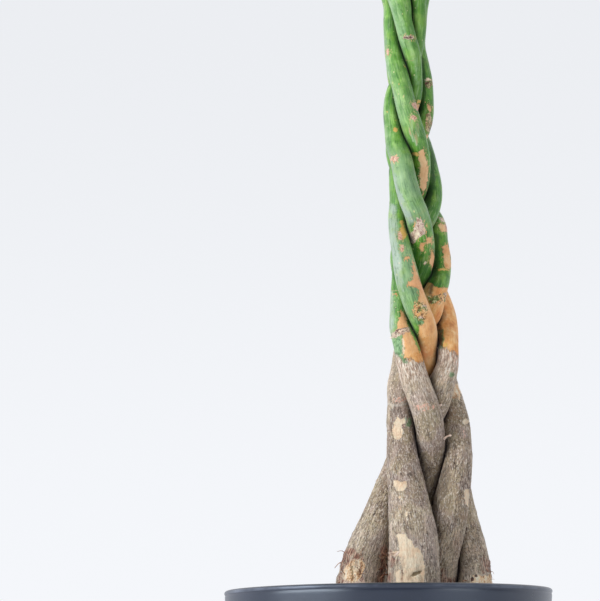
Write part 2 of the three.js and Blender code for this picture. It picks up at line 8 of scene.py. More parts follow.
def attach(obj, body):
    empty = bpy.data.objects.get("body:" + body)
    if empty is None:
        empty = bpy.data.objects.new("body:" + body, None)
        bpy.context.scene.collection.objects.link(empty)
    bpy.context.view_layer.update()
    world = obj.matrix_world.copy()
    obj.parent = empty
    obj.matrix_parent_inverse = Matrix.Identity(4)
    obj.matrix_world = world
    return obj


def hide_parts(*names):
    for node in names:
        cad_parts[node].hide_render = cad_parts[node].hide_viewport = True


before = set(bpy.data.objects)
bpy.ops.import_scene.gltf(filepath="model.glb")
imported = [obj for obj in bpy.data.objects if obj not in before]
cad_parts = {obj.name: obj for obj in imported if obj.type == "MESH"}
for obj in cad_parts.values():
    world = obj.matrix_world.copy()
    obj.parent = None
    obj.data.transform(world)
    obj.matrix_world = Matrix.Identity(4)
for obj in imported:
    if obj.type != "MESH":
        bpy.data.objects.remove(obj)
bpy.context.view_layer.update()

# ---------------------------------------------------------------------------
# Dimensions, in millimetres, in the same frame as the CAD
# ---------------------------------------------------------------------------
POT_HEIGHT, POT_TOP_R, POT_BASE_R, POT_WALL, POT_FLOOR = 330.0, 175.0, 148.0, 7.0, 9.0
SOIL_Z, SOIL_RISE, SOIL_MOUND_R = 301.0, 5.0, 118.0

# Centre line of each stem: (height, across, depth, radius)
STEMS = {
    "A": [
        (250, -39.9, 0, 25.29), (270, -39.3, 0, 25.57), (290, -38.1, -0.1, 25.86), (310, -35.6, -0.2, 25.64), (330, -31.7, -0.3, 24.93),
        (350, -27, -0.2, 24.04), (370, -21.3, 0.4, 22.9), (390, -13.3, 1.8, 21.76), (410, -5.6, 4.3, 20.4), (430, 1.7, 7.9, 18.98),
        (450, 9.5, 11.6, 18.01), (470, 17.6, 13.6, 17.04), (490, 27.6, 10.2, 16.2), (510, 41.1, 1.7, 15.87), (530, 53.1, -7.4, 15.55),
        (550, 59.8, -15.9, 14.6), (570, 66.3, -15, 12.07), (590, 67.4, -9.33, 11.7), (610, 66.4, 11.27, 13.77), (630, 64, 23.44, 14.43),
        (650, 57.9, 30.33, 14.22), (670, 49.1, 34.71, 13.97), (690, 38, 32.5, 13.69), (710, 26.4, 28.3, 13.36), (730, 21.3, 22.6, 13.03),
        (750, 27.7, 11.56, 13.57), (770, 37, 0.49, 12.64), (790, 41.4, -10.54, 10.36), (810, 37.8, -21.5, 11.1), (830, 31.6, -26.6, 11.43),
        (850, 25.8, -28.3, 11.11), (870, 21.7, -27.2, 10.8), (890, 17.2, -22, 10.73), (910, 14.3, -14, 10.66), (930, 13.5, -6.8, 10.59),
        (950, 13, -2.07, 10.52), (970, 13.5, 2.05, 10.38), (990, 9.5, 5.74, 10.21), (1010, 9.2, 9.4, 10.04), (1030, 15.5, 8.75, 9.88),
        (1050, 23.4, 0.7, 9.71), (1070, 30.7, -8.6, 9.55), (1090, 36.8, -11.2, 9.38), (1110, 40.6, -9, 9.23), (1130, 42.6, -5.1, 9.08),
        (1150, 42.6, -0.7, 8.93), (1170, 40.5, 3.3, 8.79), (1190, 36.4, 7, 8.64), (1210, 32, 9.9, 8.49), (1230, 29, 12.2, 8.35),
        (1250, 25.7, 12.6, 8.2), (1270, 22.4, 11.6, 8.05), (1290, 20.3, 12.8, 7.9), (1310, 19.5, 16.7, 7.75), (1330, 19.2, 21.8, 7.6),
        (1382, 17.9, 32.1, 6.6), (1434, 16.8, 40.9, 5.6), (1486, 15.9, 48.1, 4.6),
    ],
    "B": [
        (250, 27.8, -28.1, 27.29), (270, 27.9, -28.2, 27.57), (290, 27.8, -29.3, 27.86), (310, 27.4, -32, 27.83), (330, 26.9, -36.23, 27.5),
        (350, 26.7, -39.94, 27.01), (370, 27, -40.7, 26.29), (390, 25.8, -36.9, 25.57), (410, 23.6, -29.8, 23.55), (430, 21.3, -25.6, 21.15),
        (450, 18.4, -24.5, 19.22), (470, 16.1, -23.2, 16.9), (490, 15.6, -20.1, 15.5), (510, 15.1, -16, 15.1), (530, 16.7, -6.4, 15.1),
        (550, 17.2, 6.7, 15.2), (570, 21.8, 17.5, 15.16), (590, 25.2, 17.17, 15), (610, 32.3, 9.2, 15.31), (630, 45.9, -0.93, 16.35),
        (650, 54.5, -0.83, 12.86), (670, 61, 10.12, 11.25), (690, 61.2, 17.5, 12.6), (710, 58.8, 19.8, 12.3), (730, 56.3, 27.11, 12.93),
        (750, 46, 33.26, 12.57), (770, 33.2, 29.86, 12.2), (790, 22, 23.4, 11.8), (810, 15.5, 18.7, 11.35), (830, 17.4, 12.2, 10.9),
        (850, 26.8, 3.85, 10.69), (870, 34.9, -7.76, 8.69), (890, 35.4, -16.5, 8.3), (910, 33.1, -21.6, 9.4), (930, 27.8, -22.4, 9.72),
        (950, 23.5, -20.54, 9.92), (970, 20.4, -18.64, 11.78), (990, 13.4, -14.96, 11.3), (1010, 5.9, -10.09, 10.4), (1030, 1.2, -4.2, 9.4),
        (1050, 0.8, 2.1, 9.21), (1070, 2.7, 7.3, 9.12), (1090, 5.9, 10.3, 9.04), (1110, 10.7, 10, 8.95), (1130, 16.9, 4, 8.84),
        (1150, 22.9, -5.3, 8.73), (1170, 29.3, -10, 8.63), (1190, 33.3, -9.9, 8.52), (1210, 34.4, -6.8, 8.41), (1230, 34.6, -3.4, 8.31),
        (1250, 35.3, -0.6, 8.2), (1270, 36.8, 1.7, 8.05), (1290, 39.1, 3.4, 7.9), (1310, 42.5, 4.8, 7.75), (1330, 46.5, 6.3, 7.6),
        (1398.3, 59, 11.2, 6.6), (1466.7, 69.7, 15.5, 5.6), (1535, 78.5, 18.9, 4.6),
    ],
    "C": [
        (250, 53, 18.8, 26), (270, 53.1, 18.3, 26.2), (290, 52.9, 17, 26.5), (310, 52.2, 15.11, 26.33), (330, 51.3, 10.85, 24.58),
        (350, 51.3, 1.56, 23.72), (370, 54.9, -3.25, 22.43), (390, 61, -8.4, 21.22), (410, 65.9, -13.4, 20.03), (430, 69.7, -16.21, 18.72),
        (450, 73.4, -17.32, 16.97), (470, 76.4, -13.36, 14.93), (490, 75.9, -3.36, 15.35), (510, 74.5, 8.7, 15.87), (530, 71.1, 22.97, 15.53),
        (550, 65.7, 32.1, 15.28), (570, 60.4, 30.2, 15.16), (590, 54.2, 29.9, 15), (610, 45.8, 35.17, 14.85), (630, 34.4, 32.24, 14.59),
        (650, 33, 19.73, 13.77), (670, 36.8, 8.24, 13.43), (690, 41, -5.37, 13.55), (710, 39.7, -21.4, 13.7), (730, 35.3, -33.11, 12.97),
        (750, 27.6, -36.5, 12.71), (770, 22.6, -37.9, 12.38), (790, 19.5, -32.3, 12.06), (810, 14.7, -21, 11.74), (830, 13.2, -12.9, 11.43),
        (850, 11.9, -11.65, 11.1), (870, 14.5, -6.47, 10.78), (890, 23.1, -0.8, 10.73), (910, 31.6, -1.2, 10.66), (930, 37, -4.4, 10.59),
        (950, 39.5, -7.77, 10.34), (970, 39.5, -10.01, 10.02), (990, 41, -11.3, 10.21), (1010, 44.1, -10, 10.04), (1030, 46.5, -7.3, 9.88),
        (1050, 47.7, -3.1, 9.71), (1070, 47.3, 1.4, 9.55), (1090, 44.4, 5.9, 9.38), (1110, 39.8, 9.3, 9.23), (1130, 34.9, 11.4, 9.08),
        (1150, 29.5, 11.6, 8.93), (1170, 23, 6.6, 8.79), (1190, 17.8, -2.1, 8.64), (1210, 12.8, -9, 8.49), (1230, 8.2, -12.3, 8.35),
        (1250, 5.9, -12.6, 8.2), (1270, 6.2, -12.6, 8.05), (1290, 6.7, -15, 7.9), (1310, 6.8, -19.8, 7.75), (1330, 6.4, -25.7, 7.6),
        (1376.7, 6.1, -35.1, 6.6), (1423.3, 5.9, -43, 5.6), (1470, 5.7, -49.5, 4.6),
    ],
    "D": [
        (250, 92.2, -13.7, 21.8), (270, 92.5, -13.5, 22), (290, 92.7, -11.9, 22.3), (310, 92.7, -7.59, 22.08), (330, 92.4, -0.05, 19.98),
        (350, 91.2, 13.71, 19.38), (370, 88, 22, 20.44), (390, 83.8, 24.9, 20.17), (410, 79.1, 23, 19.29), (430, 74.9, 19.91, 18.38),
        (450, 72.6, 19.68, 17.36), (470, 67, 21.72, 16.51), (490, 58.6, 26.6, 15.57), (510, 49.1, 31.2, 14.6), (530, 41.4, 24.12, 14.02),
        (550, 45.3, 12, 13.47), (570, 45.6, -0.03, 12.99), (590, 43.2, -7.77, 13.89), (610, 42.3, -22.72, 12.82), (630, 34, -31, 13.3),
        (650, 26.8, -35.2, 13), (670, 21.8, -38.5, 12.4), (690, 18.4, -35.6, 10.9), (710, 15.7, -25.16, 10.42), (730, 17, -14.92, 12.27),
        (750, 18.9, -13.49, 12.54), (770, 18.1, -14.27, 12.11), (790, 19.2, -6.09, 11.8), (810, 29.2, 0.3, 11.61), (830, 40.5, 3.21, 11.1),
        (850, 46.8, 9.9, 10), (870, 46.9, 12.9, 10.4), (890, 45.6, 14.3, 10.73), (910, 42.1, 17.1, 10.66), (930, 38.5, 16.6, 10.59),
        (950, 39.9, 12.7, 10.52), (970, 42.2, 8.82, 9.9), (990, 46.5, 7.6, 9.1), (1010, 46.8, 9.5, 9.3), (1030, 43.6, 12.2, 9.88),
        (1050, 38.1, 13.8, 9.71), (1070, 30.9, 11.6, 9.55), (1090, 23.3, 2.2, 9.38), (1110, 15.8, -8, 9.23), (1130, 8.5, -12.3, 9.08),
        (1150, 3.7, -11.2, 8.93), (1170, 0.3, -8.4, 8.79), (1190, -2.1, -5, 8.64), (1210, -2.8, -1.9, 8.49), (1230, -1.9, 1, 8.35),
        (1250, -1.2, 3.1, 8.2), (1270, -2.3, 4.9, 8.05), (1290, -5.2, 7.1, 7.9), (1310, -9.2, 9.8, 7.75), (1330, -13.7, 12.8, 7.6),
        (1390.7, -23.8, 19.6, 6.6), (1451.3, -32.3, 25.3, 5.6), (1512, -39.4, 30.1, 4.6),
    ],
    "E": [
        (250, 6, 52.1, 23.29), (270, 6.5, 51.8, 23.57), (290, 8, 51.4, 23.86), (310, 10, 50.4, 23.76), (330, 12.5, 48, 23.29),
        (350, 16.5, 43.5, 22.62), (370, 22, 35.7, 21.67), (390, 28.5, 25.2, 20.72), (410, 36.2, 15.3, 19.4), (430, 40.6, 7.79, 18),
        (450, 44.6, 0.91, 18.17), (470, 46.5, -6.32, 17.31), (490, 46.7, -21.53, 15.53), (510, 44.1, -31.7, 15.67), (530, 38, -34, 15.41),
        (550, 31.4, -29.4, 15.05), (570, 26.3, -26.7, 14.59), (590, 21.5, -26.34, 13.3), (610, 17.1, -16.99, 12.57), (630, 17.9, -10.73, 12.49),
        (650, 19.6, -9.7, 13.1), (670, 20.2, -12.38, 12.29), (690, 17.6, -6.63, 11), (710, 23.8, 2.87, 11.57), (730, 42.7, 2.87, 12.33),
        (750, 52.7, 10.57, 10.84), (770, 54.6, 18.38, 10.89), (790, 50.2, 18.5, 11.68), (810, 45.9, 21.1, 11.41), (830, 39.8, 25.8, 11.14),
        (850, 31.8, 24.9, 10.87), (870, 24.1, 21.1, 10.6), (890, 18.3, 19.5, 10.53), (910, 16, 15.9, 10.46), (930, 16.8, 14.9, 10.39),
        (950, 19.8, 17.7, 10.32), (970, 24.5, 18.9, 10.2), (990, 28.4, 12.8, 10.06), (1010, 26.9, -0.4, 9.92), (1030, 19.4, -11.5, 9.78),
        (1050, 10.5, -14.4, 9.64), (1070, 4.1, -11.5, 9.51), (1090, -0.4, -6.9, 9.37), (1110, -2.5, -2.3, 9.23), (1130, -2.4, 2.1, 9.08),
        (1150, -0.7, 6, 8.93), (1170, 2, 9, 8.79), (1190, 5.7, 10.3, 8.64), (1210, 10.8, 8.3, 8.49), (1230, 15, 3, 8.35),
        (1250, 18.6, -2.1, 8.2), (1270, 22.4, -5.4, 8.05), (1290, 27, -7.9, 7.9), (1310, 31.7, -11, 7.75), (1330, 36.4, -14.4, 7.6),
        (1385.3, 45.5, -20.7, 6.6), (1440.7, 53.3, -26, 5.6), (1496, 59.7, -30.4, 4.6),
    ],
}

# Leaves: stem, foot of the stalk, heading, stalk length, slope at the stem, slope at the hub, nod, roll,
# leaflets, length, half width, lift, droop, fold
LEAVES = [
    ("A", (23.9, 22.59, 1241), 107.9, 192, 32, 4, 16, -4, 6, 146, 23, 8, 58, 11),
    ("B", (45.29, 1.65, 1244.1), 16.8, 209, 26, 2, 12, 3, 7, 162, 24.4, 8, 56, 15),
    ("C", (3.9, -22.73, 1241.5), 253.8, 175, 19, -3, 23, 14, 7, 144, 23.8, 9, 53, 14),
    ("D", (-11.46, 6.06, 1241.9), 159.1, 194, 20, 5, 32, 11, 7, 167, 24.2, 11, 31, 15),
    ("E", (22.89, -7.05, 1236.6), 308.7, 179, 29, 12, 20, -6, 6, 161, 23.8, 9, 45, 14),
    ("A", (13.29, 16.65, 1269.4), 151.4, 201, 43, 8, 26, -2, 5, 172, 27.6, 4, 29, 14),
    ("B", (41.39, 12.65, 1282.3), 72.2, 185, 39, 10, 11, -2, 7, 143, 24, 11, 50, 15),
    ("C", (15.86, -18.49, 1281.5), 334.3, 174, 43, 1, 16, -9, 7, 156, 23.7, 9, 45, 15),
    ("D", (-8.61, -3.15, 1281.4), 243.4, 188, 27, 17, 31, -8, 5, 171, 28, 9, 48, 14),
    ("E", (38.49, -7.01, 1295.7), 9.9, 156, 38, 12, 27, -14, 7, 156, 24.8, 12, 46, 16),
    ("A", (29.71, 17.63, 1308.4), 7, 175, 50, 16, 31, 6, 6, 153, 22.5, 6, 30, 17),
    ("B", (54.41, -1.09, 1349.3), 296.5, 180, 34, 9, 29, -2, 7, 148, 21.8, 5, 36, 12),
    ("C", (-3.58, -23.6, 1324.9), 176.6, 151, 43, 15, 22, 12, 5, 139, 23, 6, 31, 14),
    ("D", (-15.21, 22.86, 1330.9), 97.8, 183, 55, 24, 15, 1, 7, 170, 28.3, 12, 55, 17),
    ("E", (34.58, -23.86, 1326.6), 264.2, 154, 51, 27, 25, 9, 5, 151, 25.2, 9, 28, 15),
    ("A", (14.58, 20.31, 1366.2), 246.8, 160, 59, 30, 23, -4, 6, 138, 22.6, 10, 54, 17),
    ("B", (50.81, 14.98, 1399.2), 155.9, 146, 39, 32, 34, 8, 5, 138, 21.6, 7, 35, 17),
    ("C", (14.3, -27.09, 1361.1), 31, 135, 55, 21, 15, -10, 6, 140, 22.4, 5, 29, 13),
    ("D", (-13.06, 10.03, 1366.1), 314.3, 160, 49, 29, 11, 14, 5, 152, 24, 9, 31, 17),
    ("E", (33.52, -17.51, 1369.1), 171.8, 185, 39, 16, 15, 13, 7, 154, 24.8, 5, 30, 13),
    ("A", (20.86, 44.88, 1411.2), 65.5, 154, 53, 43, 29, -4, 6, 143, 23.6, 11, 55, 12),
    ("B", (72.57, 8.19, 1447.5), 313.9, 130, 61, 43, 16, -14, 7, 152, 25.7, 11, 37, 13),
    ("C", (-2.59, -40.26, 1400.4), 187.6, 146, 57, 23, 21, 9, 5, 167, 24.4, 6, 29, 12),
    ("D", (-29.46, 31.98, 1431.9), 89.2, 161, 54, 40, 18, -11, 7, 139, 20.7, 9, 32, 17),
    ("E", (54.11, -31.81, 1420.6), 295.2, 139, 53, 38, 29, 7, 7, 163, 25.2, 11, 52, 18),
    ("A", (8.65, 40.11, 1435.5), 187, 116, 72, 41, 28, 8, 7, 146, 21.2, 8, 45, 10),
    ("B", (73.18, 23.6, 1474.5), 72.2, 133, 67, 43, 32, 13, 6, 140, 23.7, 10, 40, 16),
    ("C", (0.53, -49.93, 1429.5), 228.6, 137, 64, 32, 11, -12, 6, 144, 24.4, 7, 32, 16),
    ("D", (-37.88, 19.29, 1457.6), 233.3, 153, 69, 33, 20, -3, 6, 154, 25, 12, 40, 10),
    ("E", (57.2, -33.26, 1441), 298.1, 143, 54, 39, 32, 7, 6, 142, 23, 9, 29, 11),
    ("A", (21.26, 41.07, 1474.4), 313.6, 133, 62, 49, 17, 2, 5, 133, 20.4, 9, 52, 13),
    ("B", (71, 15.61, 1529), 204, 127, 70, 47, 22, 4, 5, 112, 19, 10, 46, 17),
    ("C", (2.84, -41.86, 1464), 113, 120, 77, 43, 13, 11, 6, 110, 17.4, 10, 45, 15),
    ("E", (51.63, -30.09, 1490), 181.3, 138, 67, 46, 25, 1, 6, 128, 20, 6, 33, 18),
]

FANS = {5: (0, 50, -50, 106, -106), 6: (24, -24, 72, -72, 122, -122), 7: (0, 44, -44, 88, -88, 134, -134)}

# Camera of the photograph: 3 m away, a little below the pot's rim, looking slightly up
CAM_X, CAM_DIST, CAM_Z = -91.7, 3000.0, 195.0
CAM_PITCH, CAM_ROLL, CAM_FOCAL_PX = math.radians(8.507), math.radians(0.45), 2795.0

# Light from the wall behind the plant and from the room in front of it
WORLD_BACK, WORLD_FRONT, WORLD_TOP = 1.0, 0.24, 0.5
# two broad soft lights: direction they come from, angle they fill in degrees, strength, colour
WINDOW = ((-0.84, -0.50, 0.14), 50.0, 3.3, (0.96, 0.98, 1.0))
SECOND = ((0.74, -0.66, 0.16), 32.0, 0.5, (1.0, 1.0, 1.0))


# ---------------------------------------------------------------------------
# Small helpers
# ---------------------------------------------------------------------------
def photo_to_mm(px, py):
    """Place of a photo point on the plane through the pot's axis: (across, height) in mm."""
    u, v = px - 300.0, 300.5 - py
    c, s = math.cos(CAM_ROLL), math.sin(CAM_ROLL)
    u, v = u * c + v * s, -u * s + v * c
    e = CAM_PITCH + np.arctan(v / CAM_FOCAL_PX)
    z = CAM_Z + CAM_DIST * np.tan(e)
    depth = CAM_DIST * math.cos(CAM_PITCH) + (z - CAM_Z) * math.sin(CAM_PITCH)
    return u * depth / CAM_FOCAL_PX + CAM_X, z


def mm_to_photo(x, y, z):
    dy = CAM_DIST + y
    depth = dy * math.cos(CAM_PITCH) + (z - CAM_Z) * math.sin(CAM_PITCH)
    v = -dy * math.sin(CAM_PITCH) + (z - CAM_Z) * math.cos(CAM_PITCH)
    u, v = CAM_FOCAL_PX * (x - CAM_X) / depth, CAM_FOCAL_PX * v / depth
    c, s = math.cos(CAM_ROLL), math.sin(CAM_ROLL)
    return 300.0 + u * c - v * s, 300.5 - (u * s + v * c)


def smooth(a, b, x):
    t = np.clip((x - a) / (b - a), 0.0, 1.0)
    return t * t * (3.0 - 2.0 * t)


def lattice(ix, iy, iz, seed):
    n = (ix * 73856093) ^ (iy * 19349663) ^ (iz * 83492791) ^ (seed * 2654435761)
    n = (n ^ (n >> 13)) * 1274126177
    n = n & 0xFFFFFFFF
    n = ((n ^ (n >> 16)) * 2246822519) & 0xFFFFFFFF
    return ((n ^ (n >> 15)) & 0xFFFFFF) / float(0xFFFFFF) * 2.0 - 1.0


def noise3(p, seed=0):
    """Smooth value noise in -1..1 at the rows of p."""
    q = np.floor(p).astype(np.int64)
    f = p - q
    f = f * f * f * (f * (f * 6 - 15) + 10)
    out = 0.0
    for dx in (0, 1):
        wx = f[:, 0] if dx else 1 - f[:, 0]
        for dy in (0, 1):
            wy = f[:, 1] if dy else 1 - f[:, 1]
            for dz in (0, 1):
                wz = f[:, 2] if dz else 1 - f[:, 2]
                out = out + wx * wy * wz * lattice(q[:, 0] + dx, q[:, 1] + dy, q[:, 2] + dz, seed)
    return out


def fractal(p, octaves=4, seed=0, gain=0.5):
    out, amp, tot = 0.0, 1.0, 0.0
    for k in range(octaves):
        out = out + amp * noise3(p * 2.0 ** k, seed + 17 * k)
        tot += amp
        amp *= gain
    return out / tot


def new_object(name, verts_mm, faces, shade=True):
    """A mesh object from vertices in mm; faces is an integer array of quads or triangles, or a list of both."""
    me = bpy.data.meshes.new(name)
    v = np.ascontiguousarray(np.asarray(verts_mm, np.float32) / 1000.0)
    groups = faces if isinstance(faces, list) else [faces]
    loops = np.concatenate([np.asarray(g, np.int32).ravel() for g in groups])
    sizes = np.concatenate([np.full(len(g), np.asarray(g).shape[1], np.int32) for g in groups])
    me.vertices.add(len(v))
    me.vertices.foreach_set("co", v.ravel())
    me.loops.add(len(loops))
    me.loops.foreach_set("vertex_index", loops)
    me.polygons.add(len(sizes))
    me.polygons.foreach_set("loop_start", np.concatenate([[0], np.cumsum(sizes)[:-1]]).astype(np.int32))
    me.update(calc_edges=True)
    me.validate()
    if shade:
        me.polygons.foreach_set("use_smooth", np.ones(len(me.polygons), bool))
    o = bpy.data.objects.new(name, me)
    bpy.context.scene.collection.objects.link(o)
    return o


def put(o, name, values):
    values = np.asarray(values, np.float32)
    if values.ndim == 1:
        a = o.data.attributes.new(name, "FLOAT", "POINT")
        a.data.foreach_set("value", values)
    else:
        a = o.data.attributes.new(name, "FLOAT_VECTOR", "POINT")
        a.data.foreach_set("vector", values.ravel())


def lin(r, g, b):
    """sRGB 0..255 to linear RGBA."""
    out = []
    for c in (r, g, b):
        c /= 255.0
        out.append(c / 12.92 if c <= 0.04045 else ((c + 0.055) / 1.055) ** 2.4)
    return (*out, 1.0)


class Nodes:
    """Short hand for building a material."""

    def __init__(self, name):
        self.mat = bpy.data.materials.new(name)
        self.mat.use_nodes = True
        self.t = self.mat.node_tree
        self.t.nodes.clear()
        self.out = self.t.nodes.new("ShaderNodeOutputMaterial")
        self.bsdf = self.t.nodes.new("ShaderNodeBsdfPrincipled")
        self.t.links.new(self.bsdf.outputs[0], self.out.inputs[0])

    def n(self, kind, **props):
        node = self.t.nodes.new(kind)
        for k, v in props.items():
            setattr(node, k, v)
        return node

    def link(self, a, b):
        self.t.links.new(a, b)

    def feed(self, socket, value):
        if isinstance(value, bpy.types.NodeSocket):
            self.link(value, socket)
        else:
            socket.default_value = value

    def attr(self, name, vector=False):
        node = self.n("ShaderNodeAttribute", attribute_type="GEOMETRY", attribute_name=name)
        return node.outputs["Vector"] if vector else node.outputs["Fac"]

    def math(self, op, a, b=None, c=None, clamp=False):
        node = self.n("ShaderNodeMath", operation=op, use_clamp=clamp)
        self.feed(node.inputs[0], a)
        if b is not None:
            self.feed(node.inputs[1], b)
        if c is not None:
            self.feed(node.inputs[2], c)
        return node.outputs[0]

    def vmul(self, v, xyz):
        node = self.n("ShaderNodeVectorMath", operation="MULTIPLY")
        self.feed(node.inputs[0], v)
        self.feed(node.inputs[1], xyz)
        return node.outputs[0]

    def noise(self, v, scale, detail=3.0, rough=0.55, distort=0.0, color=False):
        node = self.n("ShaderNodeTexNoise")
        self.feed(node.inputs["Vector"], v)
        node.inputs["Scale"].default_value = scale
        node.inputs["Detail"].default_value = detail
        node.inputs["Roughness"].default_value = rough
        node.inputs["Distortion"].default_value = distort
        return node.outputs["Color"] if color else node.outputs[0]

    def voronoi(self, v, scale, feature="F1", rand=1.0):
        node = self.n("ShaderNodeTexVoronoi", feature=feature)
        self.feed(node.inputs["Vector"], v)
        node.inputs["Scale"].default_value = scale
        node.inputs["Randomness"].default_value = rand
        return node.outputs["Distance"]

    def step(self, x, lo, hi, smoothstep=True):
        """0 below lo, 1 above hi."""
        node = self.n("ShaderNodeMapRange", interpolation_type="SMOOTHSTEP" if smoothstep else "LINEAR")
        self.feed(node.inputs["Value"], x)
        node.inputs["From Min"].default_value = lo
        node.inputs["From Max"].default_value = hi
        node.inputs["To Min"].default_value = 0.0
        node.inputs["To Max"].default_value = 1.0
        return node.outputs["Result"]

    def range(self, x, lo, hi, a, b):
        node = self.n("ShaderNodeMapRange")
        self.feed(node.inputs["Value"], x)
        node.inputs["From Min"].default_value = lo
        node.inputs["From Max"].default_value = hi
        node.inputs["To Min"].default_value = a
        node.inputs["To Max"].default_value = b
        return node.outputs["Result"]

    def mix(self, fac, a, b, blend="MIX"):
        node = self.n("ShaderNodeMix", data_type="RGBA", blend_type=blend)
        self.feed(node.inputs[0], fac)
        self.feed(node.inputs[6], a)
        self.feed(node.inputs[7], b)
        return node.outputs[2]

    def fmix(self, fac, a, b):
        node = self.n("ShaderNodeMix", data_type="FLOAT")
        self.feed(node.inputs[0], fac)
        self.feed(node.inputs[2], a)
        self.feed(node.inputs[3], b)
        return node.outputs[0]

    def ramp(self, fac, stops):
        node = self.n("ShaderNodeValToRGB")
        cr = node.color_ramp
        while len(cr.elements) < len(stops):
            cr.elements.new(0.5)
        for e, (p, c) in zip(cr.elements, stops):
            e.position, e.color = p, c
        self.feed(node.inputs[0], fac)
        return node.outputs[0]

    def bump(self, height, strength, distance, normal=None):
        node = self.n("ShaderNodeBump")
        node.inputs["Strength"].default_value = strength
        node.inputs["Distance"].default_value = distance
        self.feed(node.inputs["Height"], height)
        if normal is not None:
            self.link(normal, node.inputs["Normal"])
        return node.outputs[0]

    def set(self, **kw):
        for k, v in kw.items():
            self.feed(self.bsdf.inputs[k.replace("_", " ")], v)


# ---------------------------------------------------------------------------
# Stems
# ---------------------------------------------------------------------------
def spline(rows, step):
    """Points every step mm of height along a smooth curve through the rows: height, across, depth, radius."""
    r = np.array(rows, float)
    z = r[:, 0]
    m = np.gradient(r[:, 1:], z, axis=0)
    zz = np.concatenate([np.arange(a, b, s) for a, b, s in step] + [[step[-1][1]]])
    i = np.clip(np.searchsorted(z, zz, side="right") - 1, 0, len(z) - 2)
    h = (z[i + 1] - z[i])
    t = (zz - z[i]) / h
    t2, t3 = t * t, t * t * t
    p = ((2 * t3 - 3 * t2 + 1)[:, None] * r[i, 1:] + (t3 - 2 * t2 + t)[:, None] * h[:, None] * m[i]
         + (-2 * t3 + 3 * t2)[:, None] * r[i + 1, 1:] + (t3 - t2)[:, None] * h[:, None] * m[i + 1])
    return np.column_stack([zz, p])


FINE = {s: spline(rows, [(rows[0][0], rows[-1][0], 2.0)]) for s, rows in STEMS.items()}


def unit(v):
    return v / np.maximum(np.linalg.norm(v, axis=-1, keepdims=True), 1e-9)


# Heights in the photograph where a stem's skin changes, each as (photo y at the middle, change towards the right edge)
PEEL_FROM = {"A": (292, 0), "B": (285, 3), "C": (300, -6), "D": (337, -4), "E": (356, -6)}
BARK_FROM = {"A": (350, 5), "B": (332, 0), "C": (345, 0), "D": (377, -2), "E": (359, 3)}

